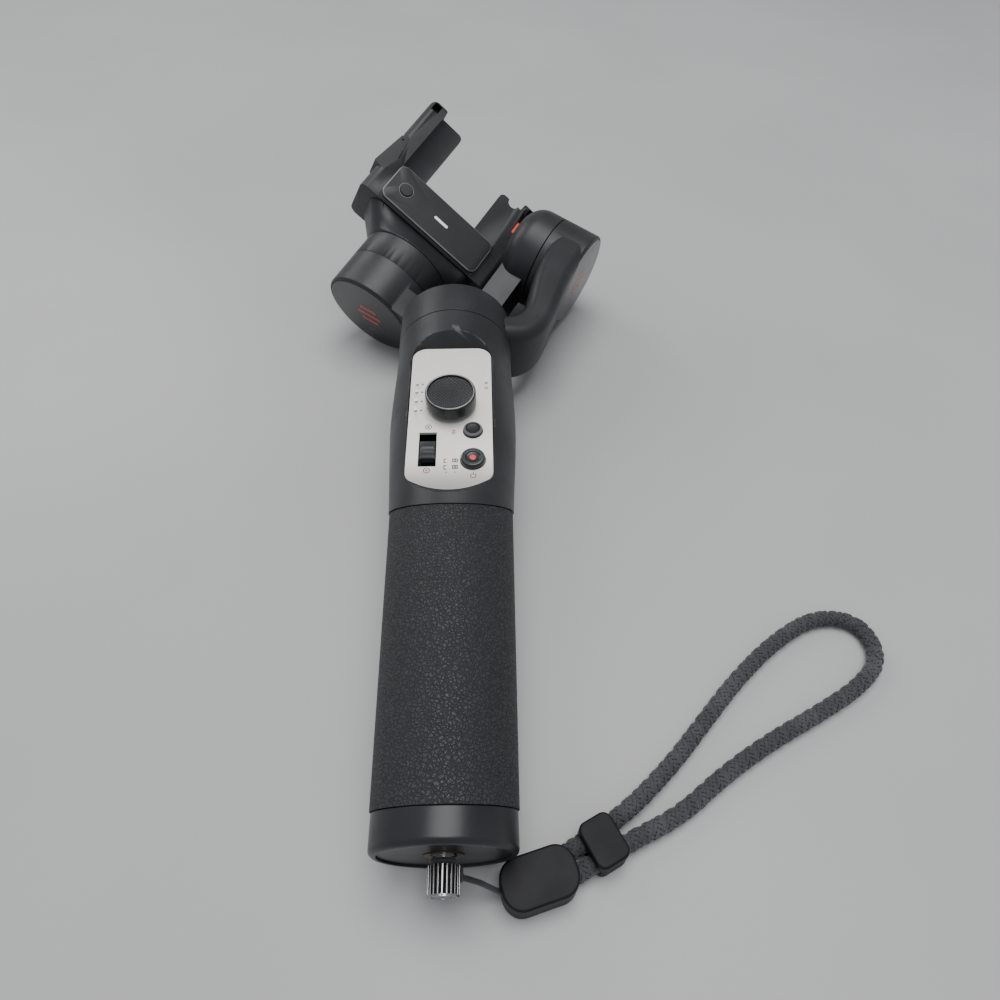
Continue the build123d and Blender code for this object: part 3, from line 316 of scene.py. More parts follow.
@dataclass(frozen=True)
class Leather:
    """Embossed leather: irregular pebbles parted by creases darkened with painted shade, with worn, glossier tops.
    """

    name: str
    tone: Colour = (0.022, 0.023, 0.026)
    pebbles_per_metre: float = 980.0
    depth: float = 0.00018

    def material(self) -> bpy.types.Material:
        """Paint it."""
        paint = Paint(self.name, Specular_IOR_Level=0.5)
        drift = paint.node(
            "ShaderNodeTexNoise", {}, {"Vector": paint.here(), "Scale": 420.0, "Detail": 3.0}, "Color"
        )
        offset = paint.node("ShaderNodeVectorMath", {"operation": "SCALE"}, {0: drift, "Scale": 0.0016})
        pushed = paint.node("ShaderNodeVectorMath", {"operation": "ADD"}, {0: paint.here(), 1: offset})
        edge = paint.cells(self.pebbles_per_metre, "DISTANCE_TO_EDGE", pushed)
        fine_edge = paint.cells(self.pebbles_per_metre * 2.1, "DISTANCE_TO_EDGE", pushed)
        pebble = edge.ranged(0.0, 0.22)
        wrinkle = fine_edge.ranged(0.0, 0.16)
        swell = paint.noise(260.0, 2.0)
        pores = paint.noise(5200.0, 2.0)
        height = pebble * 0.62 + wrinkle * 0.26 + swell * 0.35 + pores * 0.06
        top = (pebble * wrinkle).ranged(0.25, 1.0)
        worn = scaled(self.tone, 1.6)
        # painted shade: the creases take a darker colour, while the lighter tops are wear
        shaded_crease = scaled(self.tone, 0.5)
        paint.feed("Base Color", paint.colour(top, shaded_crease, worn))
        paint.feed("Roughness", 0.64 - top * 0.2 + pores * 0.06)
        paint.feed("Normal", paint.bump(height, self.depth))
        return paint.material


class Direction(Enum):
    """Which way a brushed finish runs: along the row's x or y axis."""

    ACROSS = (0.012, 1.0, 1.0)
    ALONG = (1.0, 0.012, 1.0)


@dataclass(frozen=True)
class Brushed:
    """Brushed or turned metal: long fine scratches over a satin sheen."""

    name: str
    tone: Colour
    run: Direction = Direction.ACROSS
    roughness: float = 0.34
    scratches_per_metre: float = 5200.0

    def material(self) -> bpy.types.Material:
        """Paint it."""
        paint = Paint(self.name)
        scratch = paint.noise(self.scratches_per_metre, 3.0, 0.6, paint.here(self.run.value))
        cloud = paint.noise(90.0, 3.0)
        dull = scaled(self.tone, 0.88)
        bright = tuple(min(1.0, channel * 1.08) for channel in self.tone)
        paint.shader.inputs["Metallic"].default_value = 1.0
        paint.feed("Base Color", paint.colour((scratch * 0.7 + cloud * 0.3).ranged(0.3, 0.7), dull, bright))
        paint.feed("Roughness", scratch.ranged(0.3, 0.7, self.roughness - 0.06, self.roughness + 0.08))
        paint.feed("Normal", paint.bump(scratch, 0.000012))
        return paint.material


@dataclass(frozen=True)
class Satin:
    """Bead-blasted, clear-anodised sheet: pale and warm, with painted shade making it a little darker towards its
    lower arc.
    """

    name: str
    tone: Colour = (0.93, 0.895, 0.85)
    shaded_tone: Colour = (0.34, 0.325, 0.3)
    arc: tuple[float, float] = (-0.054, -0.040)

    def material(self) -> bpy.types.Material:
        """Paint it."""
        paint = Paint(self.name, Metallic=0.4, Coat_Weight=0.12, Coat_Roughness=0.25)
        along = paint.node("ShaderNodeSeparateXYZ", {}, {0: paint.here()}, 1)
        grain = paint.noise(6400.0, 2.0, 0.6)
        cloud = paint.noise(70.0, 3.0)
        # painted shade: the colour falls from the panel's tone to the shaded tone towards its lower arc
        lit = along.ranged(*self.arc) * (cloud * 0.12 + grain * 0.08 + 0.86)
        paint.feed("Base Color", paint.colour(lit, self.shaded_tone, self.tone))
        paint.feed("Roughness", grain * 0.1 + cloud * 0.08 + 0.3)
        paint.feed("Normal", paint.bump(grain, 0.00001))
        return paint.material


@dataclass(frozen=True)
class Gloss:
    """Polished or lacquered plastic with faint orange peel and fine dust."""

    name: str
    tone: Colour
    roughness: float = 0.16
    coat: float = 0.4

    def material(self) -> bpy.types.Material:
        """Paint it."""
        paint = Paint(self.name, Coat_Weight=self.coat, Coat_Roughness=0.08)
        peel = paint.noise(900.0, 2.0)
        dust = paint.cells(2600.0).below(0.05)
        smear = paint.noise(70.0, 5.0, 0.6).ranged(0.4, 0.75)
        lighter = tuple(channel * 1.15 + 0.004 for channel in self.tone)
        base = paint.colour(smear, self.tone, lighter)
        paint.feed("Base Color", paint.over(dust * 0.25, base, (0.35, 0.35, 0.35)))
        paint.feed("Roughness", smear * 0.1 + dust * 0.4 + self.roughness)
        paint.feed("Normal", paint.bump(peel, 0.00001, 0.4))
        return paint.material


@dataclass(frozen=True)
class Rubber:
    """Matt rubber with a powdery bloom."""

    name: str
    tone: Colour = (0.02, 0.02, 0.021)

    def material(self) -> bpy.types.Material:
        """Paint it."""
        paint = Paint(self.name, Specular_IOR_Level=0.35)
        bloom = paint.noise(110.0, 5.0, 0.65).ranged(0.35, 0.75)
        grain = paint.noise(6200.0, 2.0)
        paint.feed("Base Color", paint.colour(bloom, self.tone, scaled(self.tone, 1.9)))
        paint.feed("Roughness", bloom * 0.1 + 0.68)
        paint.feed("Normal", paint.bump(grain, 0.00002))
        return paint.material


@dataclass(frozen=True)
class Board:
    """A circuit board: solder mask over copper tracks."""

    name: str
    tone: Colour = (0.01, 0.07, 0.035)

    def material(self) -> bpy.types.Material:
        """Paint it."""
        paint = Paint(self.name, Coat_Weight=0.3, Coat_Roughness=0.2)
        track = paint.cells(520.0, "DISTANCE_TO_EDGE").below(0.07)
        paint.feed("Base Color", paint.colour(track, self.tone, (0.03, 0.16, 0.08)))
        paint.feed("Roughness", 0.42 - track * 0.12)
        paint.feed("Normal", paint.bump(track, 0.00003))
        return paint.material


@dataclass(frozen=True)
class Wound:
    """Enamelled wire or stacked laminations: fine even layers along one axis."""

    name: str
    tone: Colour
    layers_per_metre: float = 3400.0
    metallic: float = 1.0

    def material(self) -> bpy.types.Material:
        """Paint it."""
        paint = Paint(self.name, Metallic=self.metallic)
        depth = paint.node("ShaderNodeSeparateXYZ", {}, {0: paint.here()}, 1)
        layer = (depth * (tau * self.layers_per_metre)).sine().ranged(-1.0, 1.0)
        dark = scaled(self.tone, 0.5)
        paint.feed("Base Color", paint.colour(layer, dark, self.tone))
        paint.feed("Roughness", 0.42 - layer * 0.12)
        paint.feed("Normal", paint.bump(layer, 0.00005))
        return paint.material


@dataclass(frozen=True)
class Lamp:
    """A small diffuser: milky plastic with a soft glow."""

    name: str
    tone: Colour = (0.85, 0.87, 0.9)
    glow: float = 0.5

    def material(self) -> bpy.types.Material:
        """Paint it."""
        paint = Paint(self.name, Roughness=0.3, Emission_Strength=self.glow, Coat_Weight=0.3)
        core = paint.noise(900.0, 2.0).ranged(0.3, 0.7)
        dim = scaled(self.tone, 0.82)
        paint.feed("Base Color", paint.colour(core, dim, self.tone))
        paint.feed("Emission Color", paint.colour(core, dim, self.tone))
        return paint.material


@dataclass(frozen=True)
class Braid:
    """Braided yarn: fine fibres along each strand, in the strand's own UV map."""

    name: str
    tone: Colour = (0.028, 0.029, 0.033)
    fibres: float = 9.0

    def material(self) -> bpy.types.Material:
        """Paint it."""
        paint = Paint(self.name, Sheen_Weight=0.25, Sheen_Roughness=0.5, Specular_IOR_Level=0.35)
        across = paint.node("ShaderNodeUVMap", {}, {}, 0)
        stretched = paint.node("ShaderNodeMapping", {}, {"Vector": across, "Scale": (3.0, 1.0, 1.0)})
        fibre = paint.noise(self.fibres, 2.0, 0.5, stretched)
        fuzz = paint.noise(2400.0, 3.0)
        worn = paint.noise(120.0, 4.0).ranged(0.35, 0.7)
        pale = scaled(self.tone, 2.2)
        mixed = (fibre * 0.6 + fuzz * 0.3 + worn * 0.2).ranged(0.32, 0.75)
        paint.feed("Base Color", paint.colour(mixed, self.tone, pale))
        paint.feed("Roughness", fibre * 0.15 + 0.62)
        paint.feed("Normal", paint.bump(fibre * 0.6 + fuzz * 0.4, 0.00008))
        return paint.material


BLACK = Moulded("black_housing")
BLACK_SMOOTH = Moulded("black_smooth", (0.0135, 0.014, 0.0155), 0.36, 7000.0, 0.00001)
BLACK_MATT = Moulded("black_matt", (0.0085, 0.0085, 0.0095), 0.52, 6000.0, 0.00001, 0.2)
# painted shade: a darker black for pieces seen only in recesses and in the braid's gaps
BLACK_RECESS_SHADE = Moulded("recess_shade_black", (0.01, 0.01, 0.011), 0.5)
LEATHER = Leather("grip_leather")
SILVER = Satin("silver_panel")
STEEL = Brushed("machined_steel", (0.36, 0.36, 0.37), Direction.ALONG, 0.3)
BRIGHT_STEEL = Brushed("bright_steel", (0.62, 0.62, 0.63), Direction.ALONG, 0.22)
SCREW_STEEL = Brushed("screw_steel", (0.34, 0.34, 0.345), Direction.ALONG, 0.24)
BRASS = Brushed("browned_brass", (0.13, 0.095, 0.055), Direction.ALONG, 0.34)
CAP_GLOSS = Gloss("gloss_cap", (0.008, 0.008, 0.0095), 0.22, 0.25)
ORANGE = Gloss("orange_latch", (0.9, 0.11, 0.02), 0.32, 0.2)
BADGE = Gloss("badge_rust", (0.42, 0.055, 0.022), 0.3, 0.2)
# the record key's red dot is no lamp: its glow is painted light
RED = Lamp("record_red", (0.72, 0.05, 0.06), 0.3)
WHITE = Lamp("light_white", (0.9, 0.92, 0.95), 0.35)
MARK = Moulded("printed_mark", (0.012, 0.012, 0.012), 0.5)
LAMP_OFF = Lamp("lamp_unlit", (0.36, 0.36, 0.37), 0.02)
# painted highlight: a pale grey laid on bevels, chamfers and key rims where light glints
EDGE_HIGHLIGHT = Moulded("painted_edge_highlight", (0.16, 0.16, 0.165), 0.3)
GREY_KNOB = Moulded("grey_knob", (0.055, 0.055, 0.058), 0.4)
GLASS_RING = Gloss("glass_ring", (0.028, 0.042, 0.035), 0.14, 0.8)
RUBBER = Rubber("soft_rubber")
CIRCUIT = Board("circuit_board")
COPPER = Wound("copper_winding", (0.72, 0.3, 0.13))
LAMINATE = Wound("laminated_core", (0.42, 0.42, 0.44), 2600.0)
WRAP = Gloss("battery_wrap", (0.03, 0.12, 0.32), 0.3)
YARN = Braid("strap_braid", (0.032, 0.032, 0.035))
STRING_YARN = Braid("string_yarn", (0.02, 0.02, 0.022), 12.0)

_made: dict[str, bpy.types.Material] = {}


def finish_of(finish: Any) -> bpy.types.Material:
    """The material of a finish, painted once."""
    if finish.name not in _made:
        _made[finish.name] = finish.material()
    return _made[finish.name]


def dress(piece: bpy.types.Object, finish: Any) -> None:
    """Give a piece one finish all over."""
    piece.data.materials.clear()
    piece.data.materials.append(finish_of(finish))


# ---------------------------------------------------------------- surfaces
def piece_from(
    name: str, points: np.ndarray, faces: Sequence[Sequence[int]], finish: Any, body: str
) -> bpy.types.Object:
    """Make a piece from vertices in metres, merge its doubles and turn its faces outwards.

    Args:
        name: the piece's name.
        points: vertices, one row each.
        faces: vertex numbers of each face.
        finish: its finish.
        body: the body that it rides on.

    Returns:
        The piece.
    """
    mesh = bpy.data.meshes.new(name)
    mesh.from_pydata(points.tolist(), [], [list(face) for face in faces])
    shape = bmesh.new()
    shape.from_mesh(mesh)
    bmesh.ops.remove_doubles(shape, verts=shape.verts, dist=SAME_POINT / 2)
    bmesh.ops.recalc_face_normals(shape, faces=shape.faces)
    shape.to_mesh(mesh)
    shape.free()
    return settle(name, mesh, finish, body)


def settle(
    name: str, mesh: bpy.types.Mesh, finish: Any, body: str, sharp: float = 40.0
) -> bpy.types.Object:
    """Link a mesh as a piece, smooth except where its faces turn more than an angle in degrees.

    Args:
        name: the piece's name.
        mesh: its mesh, in metres.
        finish: its finish.
        body: the body that it rides on.
        sharp: the angle.

    Returns:
        The piece.
    """
    mesh.shade_smooth()
    mesh.set_sharp_from_angle(angle=radians(sharp))
    piece = bpy.data.objects.new(name, mesh)
    bpy.context.scene.collection.objects.link(piece)
    dress(piece, finish)
    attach(piece, body)
    LOG.info("%s: %d faces on %s", name, len(mesh.polygons), body)
    return piece


def grid_faces(rows: int, columns: int, wrap: bool = True) -> np.ndarray:
    """Quads of a grid of vertices, row by row, the last column joined to the first if it wraps.

    Args:
        rows: number of rows.
        columns: number of columns.
        wrap: whether the rows are closed.

    Returns:
        Four vertex numbers for each face.
    """
    across = columns if wrap else columns - 1
    row, column = np.meshgrid(np.arange(rows - 1), np.arange(across), indexing="ij")
    after = (column + 1) % columns
    this_row, next_row = row * columns, (row + 1) * columns
    quads = np.stack([this_row + column, this_row + after, next_row + after, next_row + column], -1)
    return quads.reshape(-1, 4)


def revolved(profile: Sequence[tuple[float, float]], steps: int = 96) -> tuple[np.ndarray, np.ndarray]:
    """A profile of (radius, height) turned about z: x = r cos a, y = r sin a, z = h.

    Args:
        profile: radius and height of each point.
        steps: points round the axis.

    Returns:
        Vertices and faces.
    """
    rounds = np.asarray(profile, float)
    angles = np.linspace(0, tau, steps, endpoint=False)
    radius, height = rounds[:, :1], rounds[:, 1:]
    points = np.stack([radius * np.cos(angles), radius * np.sin(angles), height + 0 * angles], -1)
    return points.reshape(-1, 3), grid_faces(len(rounds), steps)


def rounded_profile(
    corners: Sequence[tuple[float, float]], radii: Sequence[float], steps: int = 5
) -> list[tuple[float, float]]:
    """An open profile with its inner corners rounded by quadratic curves.

    Each corner is replaced by (1-t)^2 a + 2t(1-t) c + t^2 b, where a and b lie a radius away along its two sides.

    Args:
        corners: the profile's corners, ends included.
        radii: how far from each inner corner the curve starts.
        steps: points on each curve, less one.

    Returns:
        The profile's points.
    """
    given = np.asarray(corners, float)
    points = [given[0]]
    for before, corner, after, reach in zip(given, given[1:], given[2:], radii):
        start = corner + unit(before - corner) * reach
        end = corner + unit(after - corner) * reach
        for step in np.linspace(0, 1, steps + 1):
            points.append((1 - step) ** 2 * start + 2 * step * (1 - step) * corner + step**2 * end)
    points.append(given[-1])
    return [tuple(point) for point in points]


def turned_piece(
    name: str, place: Place, profile: Sequence[tuple[float, float]], finish: Any, body: str,
    steps: int = 96,
) -> bpy.types.Object:
    """A revolved piece standing on a place's z axis.

    Args:
        name: its name.
        place: the frame that it stands in.
        profile: radius and height of each point.
        finish: its finish.
        body: the body that it rides on.
        steps: points round the axis.

    Returns:
        The piece.
    """
    points, faces = revolved(profile, steps)
    return piece_from(name, place.put(points), faces, finish, body)


def slab(outline: np.ndarray, low: float, high: float) -> tuple[np.ndarray, list[list[int]]]:
    """A closed prism on an outline in x and y, between two heights.

    Args:
        outline: the corners, one row each.
        low: height of the bottom.
        high: height of the top.

    Returns:
        Vertices and faces.
    """
    count = len(outline)
    bottom = np.column_stack([outline, np.full(count, low)])
    top = np.column_stack([outline, np.full(count, high)])
    sides = [[i, (i + 1) % count, count + (i + 1) % count, count + i] for i in range(count)]
    caps = [list(range(count))[::-1], list(range(count, 2 * count))]
    return np.vstack([bottom, top]), sides + caps


def rectangle(x: float, y: float, wide: float, tall: float) -> np.ndarray:
    """A rectangle's four corners about its middle."""
    return CORNERS * (np.array([wide, tall]) / 2) + [x, y]


def joined(parts: Sequence[tuple[np.ndarray, Sequence[Sequence[int]]]]) -> tuple[np.ndarray, list[list[int]]]:
    """Several sets of vertices and faces as one set.

    Args:
        parts: each set: its vertices and its faces.

    Returns:
        All vertices, and all faces counted on from one set to the next.
    """
    vertices, faces, offset = [], [], 0
    for points, sides in parts:
        vertices.append(points)
        faces += [(np.asarray(side) + offset).tolist() for side in sides]
        offset += len(points)
    return np.vstack(vertices), faces


def tube_along(path: np.ndarray, radius: float, sides: int = 8) -> tuple[np.ndarray, np.ndarray]:
    """A round tube along a path in any units, its ends closed to points.

    Each ring is radius (cos a u + sin a v) about its point, u and v spanning the plane across the path.

    Args:
        path: its line, one row for each point.
        radius: half its thickness, in the path's units.
        sides: points round it.

    Returns:
        Vertices and faces.
    """
    tangent = np.gradient(path, axis=0)
    tangent /= np.linalg.norm(tangent, axis=1)[:, None]
    u, v = across_axes(tangent)
    angles = np.linspace(0, tau, sides, endpoint=False)
    width = np.full(len(path), radius)
    ring = np.cos(angles)[:, None] * u[:, None] + np.sin(angles)[:, None] * v[:, None]
    points = path[:, None] + width[:, None, None] * ring
    start = np.repeat(path[:1, None], sides, axis=1)
    end = np.repeat(path[-1:, None], sides, axis=1)
    rows = np.concatenate([start, points, end])
    return rows.reshape(-1, 3), grid_faces(len(rows), sides)


def across_axes(tangent: np.ndarray) -> tuple[np.ndarray, np.ndarray]:
    """Two directions across a path that lies mostly flat: one level, one upright.

    Args:
        tangent: the path's direction at each of its points.

    Returns:
        The level and the upright directions.
    """
    level = np.cross(np.array([0.0, 0.0, 1.0]), tangent)
    level /= np.linalg.norm(level, axis=1)[:, None]
    return level, np.cross(tangent, level)


# ---------------------------------------------------------------- carried-over shells with softened edges
def softened(
    node: str, finish: Any, body: str, width: float = 0.0, angle: float = 32.0
) -> bpy.types.Object:
    """A copy of a CAD node whose triangles are merged and whose sharp edges may get a small round.

    Args:
        node: the CAD node.
        finish: its finish.
        body: its body.
        width: size of the rounding, in millimetres, or 0 for none.
        angle: edges that turn more than this many degrees are rounded.

    Returns:
        The piece that stands for the node.
    """
    mesh = frame["nodes"][node].data.copy()
    shape = bmesh.new()
    shape.from_mesh(mesh)
    bmesh.ops.remove_doubles(shape, verts=shape.verts, dist=SAME_POINT)
    if width > 0:
        shared = [edge for edge in shape.edges if len(edge.link_faces) == 2]
        sharp = [edge for edge in shared if edge.calc_face_angle(0.0) > radians(angle)]
        bmesh.ops.bevel(
            shape, geom=sharp, offset=width * MM, offset_type="OFFSET", segments=2, profile=0.6,
            affect="EDGES", clamp_overlap=False,
        )
    shape.to_mesh(mesh)
    shape.free()
    mesh.materials.clear()
    piece = settle(f"{node}_shell", mesh, finish, body, FLAT_EDGE)
    weighted = piece.modifiers.new("weighted", "WEIGHTED_NORMAL")
    weighted.keep_sharp = True
    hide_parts(node)
    return piece


# ---------------------------------------------------------------- strap
@dataclass
class Strap:
    """The braided wrist strap: cord, string, block and adjuster."""

    shift: tuple[float, float] = (-4.4283, -148.8744)
    heading: float = 27.0
    adjuster: tuple[float, float] = (40.3, 4.1)
    spacing: float = 5.4
    strand_height: float = 4.0
    lying: float = 2.55
    cord_diameter: float = 4.8
    cord_length: float = 256.0
    string_diameter: float = 1.4
    strands: int = 16
    pitch: float = 11.5
    core_share: float = 0.84
    weave_middle: float = 0.865
    weave_lift: float = 0.085
    ribbon: tuple[float, float] = (0.19, 0.11)
    fibre_length: float = 2.2
    neck_loop: tuple[float, float] = (2.9, -0.85)

    def beside(self, along: float, across: float) -> tuple[float, float, float]:
        """A point along and across the strap's heading from the adjuster's middle.

        Args:
            along: millimetres ahead.
            across: millimetres to the left.

        Returns:
            The point, in millimetres from the foot of the base.
        """
        ahead, aside = cos(radians(self.heading)), sin(radians(self.heading))
        x = self.adjuster[0] + along * ahead - across * aside
        y = self.adjuster[1] + along * aside + across * ahead
        return (x, y, self.strand_height)

    def route(self) -> list[tuple[float, float, float]]:
        """The cord's route in millimetres from the foot of the base."""
        half = self.spacing / 2
        low = self.lying
        return [
            self.beside(-10.6, half),
            self.beside(6.4, half),
            (62.5, 24.6, low),
            (74.0, 36.6, low),
            (87.0, 50.0, low),
            (102.0, 62.6, low),
            (118.0, 71.6, low),
            (131.6, 69.2, low),
            (134.0, 56.4, low),
            (124.6, 47.2, low),
            (109.0, 38.8, low),
            (92.4, 30.8, low),
            (76.4, 21.4, low),
            (62.6, 11.2, low),
            self.beside(6.4, -half),
            self.beside(-10.6, -half),
        ]

    def string_route(self) -> list[tuple[float, float, float]]:
        """The string's route in millimetres from the foot of the base."""
        return [(4.6, -5.0, 14.6), (8.4, -5.6, 12.4), (11.0, -6.2, 8.8), (14.6, -7.0, 5.2)]

    def to_row(self, points: Sequence[tuple[float, float, float]]) -> np.ndarray:
        """Millimetres from the foot of the base to metres of the row frame."""
        return (np.asarray(points, float) + np.array([*self.shift, 0.0])) * MM

    def spline(self, name: str, points: Sequence[tuple[float, float, float]], radius: float) -> bpy.types.Object:
        """A NURBS curve whose control points are the route's.

        Args:
            name: the curve's name.
            points: the route, in millimetres from the foot of the base.
            radius: half its thickness, in metres.

        Returns:
            The curve's object.
        """
        curve = bpy.data.curves.new(name, "CURVE")
        curve.dimensions = "3D"
        curve.resolution_u = 24
        line = curve.splines.new("NURBS")
        line.points.add(len(points) - 1)
        row = self.to_row(points)
        for point, place in zip(line.points, row):
            point.co = (*place, 1.0)
        line.order_u = 3
        line.use_endpoint_u = True
        curve.bevel_depth = radius
        curve.bevel_resolution = 6
        curve.use_fill_caps = True
        made = bpy.data.objects.new(name, curve)
        bpy.context.scene.collection.objects.link(made)
        return made

    def sampled(self, curve: bpy.types.Object, spacing: float) -> np.ndarray:
        """Evenly spaced points read from a curve's own line, in metres.

        Args:
            curve: the curve's object.
            spacing: distance between points.

        Returns:
            The points, one row each.
        """
        bare = curve.data.copy()
        bare.bevel_depth = 0.0
        carrier = bpy.data.objects.new("line", bare)
        bpy.context.scene.collection.objects.link(carrier)
        bpy.context.view_layer.update()
        mesh = bpy.data.meshes.new_from_object(carrier)
        flat = np.empty(len(mesh.vertices) * 3)
        mesh.vertices.foreach_get("co", flat)
        points = flat.reshape(-1, 3)
        bpy.data.objects.remove(carrier)
        bpy.data.curves.remove(bare)
        bpy.data.meshes.remove(mesh)
        travelled = np.concatenate([[0], np.cumsum(np.linalg.norm(np.diff(points, axis=0), axis=1))])
        count = int(travelled[-1] / spacing) + 1
        even = np.linspace(0, travelled[-1], count)
        return np.column_stack([np.interp(even, travelled, points[:, axis]) for axis in range(3)])

    def braid(self, path: np.ndarray) -> bpy.types.Object:
        """Sixteen strands in a herringbone braid round the cord's line.

        A strand turns as a = start + way * tau * s / pitch. Its distance from the line rises and falls with
        the strands that it crosses, two over and two under: r = base + lift * clipped cos(crossing angle).

        Args:
            path: the cord's line, in metres, evenly spaced.

        Returns:
            The strands as one piece.
        """
        length = np.concatenate([[0], np.cumsum(np.linalg.norm(np.diff(path, axis=0), axis=1))])
        tangent = np.gradient(path, axis=0)
        tangent /= np.linalg.norm(tangent, axis=1)[:, None]
        level, upright = across_axes(tangent)
        core = self.cord_diameter / 2 * MM
        half = self.strands // 2
        vertices, faces, uvs = [], [], []
        sides = 6
        section = np.linspace(0, tau, sides, endpoint=False)
        offset = 0
        for number in range(self.strands):
            way = 1 if number < half else -1
            start = (number % half) * tau / half + (0.0 if way > 0 else tau / half / 2)
            turn = start + way * tau * length / (self.pitch * MM)
            crossing = half * tau * length / (self.pitch * MM) + (number % half) * pi / 2
            weave = np.clip(1.6 * np.cos(crossing / 2 + (0 if way > 0 else pi)), -1, 1)
            radius = core * (self.weave_middle + self.weave_lift * weave)
            outward = np.cos(turn)[:, None] * level + np.sin(turn)[:, None] * upright
            middle = path + radius[:, None] * outward
            along = np.gradient(middle, axis=0)
            along /= np.linalg.norm(along, axis=1)[:, None]
            sideways = np.cross(along, outward)
            wide, thick = (core * share for share in self.ribbon)
            ring = (
                middle[:, None]
                + wide * np.cos(section)[None, :, None] * sideways[:, None]
                + thick * np.sin(section)[None, :, None] * outward[:, None]
            )
            vertices.append(ring.reshape(-1, 3))
            faces.append(grid_faces(len(path), sides) + offset)
            span = np.repeat(length / (self.fibre_length * MM), sides)
            uvs.append(np.column_stack([np.tile(section / tau * 4, len(path)), span + number * 3.7]))
            offset += len(path) * sides
        points = np.vstack(vertices)
        mesh = bpy.data.meshes.new("strap_braid_strands")
        mesh.from_pydata(points.tolist(), [], np.vstack(faces).tolist())
        layer = mesh.uv_layers.new(name="UVMap")
        corner = np.empty(len(mesh.loops), np.int32)
        mesh.loops.foreach_get("vertex_index", corner)
        layer.uv.foreach_set("vector", np.vstack(uvs)[corner].ravel())
        return settle("strap_braid_strands", mesh, YARN, "handle", 80.0)

    def knot(self) -> None:
        """The string's loop round the screw's neck, its tied knot and the two cut tails.

        The loop is a circle of the neck's radius plus the string's; the knot is a helix of two turns.
        """
        ends = [(2.2, -2.2, 16.2), (3.2, -3.5, 15.5), (4.4, -4.9, 14.7)]
        lead = self.to_row(ends)
        angles = np.linspace(-pi / 4, tau - pi / 4, 49)
        radius, height = self.neck_loop
        loop = np.column_stack([radius * np.cos(angles), radius * np.sin(angles), np.full(len(angles), height)])
        turn = np.linspace(0, 2 * tau, 41)
        centre = np.array(ends[1])
        coil = centre + np.column_stack([0.8 * np.cos(turn), 0.5 * (turn / tau - 1), 0.8 * np.sin(turn)])
        tails = [
            [(3.2, -3.9, 15.6), (3.8, -5.0, 16.4), (4.0, -6.3, 16.6)],
            [(3.0, -3.9, 15.2), (2.8, -5.2, 14.6), (2.2, -6.4, 14.5)],
        ]
        strings = [HANDLE.put(loop), lead, self.to_row(coil), *(self.to_row(tail) for tail in tails)]
        thickness = self.string_diameter / 2 * MM * 0.9
        points, faces = joined([tube_along(string, thickness, 10) for string in strings])
        piece_from("strap_string_knot", points, faces, STRING_YARN, "handle")

    def build(self) -> None:
        cord = self.spline("strap_cord_core", self.route(), self.cord_diameter / 2 * MM * self.core_share)
        # the core shows through the braid's gaps, and its darker black is painted shade
        dress(cord, BLACK_RECESS_SHADE)
        strands = self.braid(self.sampled(cord, 0.42 * MM))
        block = softened("strap_block", BLACK_MATT, "handle")
        adjuster = softened("strap_adjuster", BLACK_MATT, "handle")
        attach(cord, "handle")
        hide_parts("strap_cord")
        string = self.spline("strap_string_line", self.string_route(), self.string_diameter / 2 * MM)
        dress(string, STRING_YARN)
        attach(string, "handle")
        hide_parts("strap_string")
        self.knot()
        LOG.info("strap built")


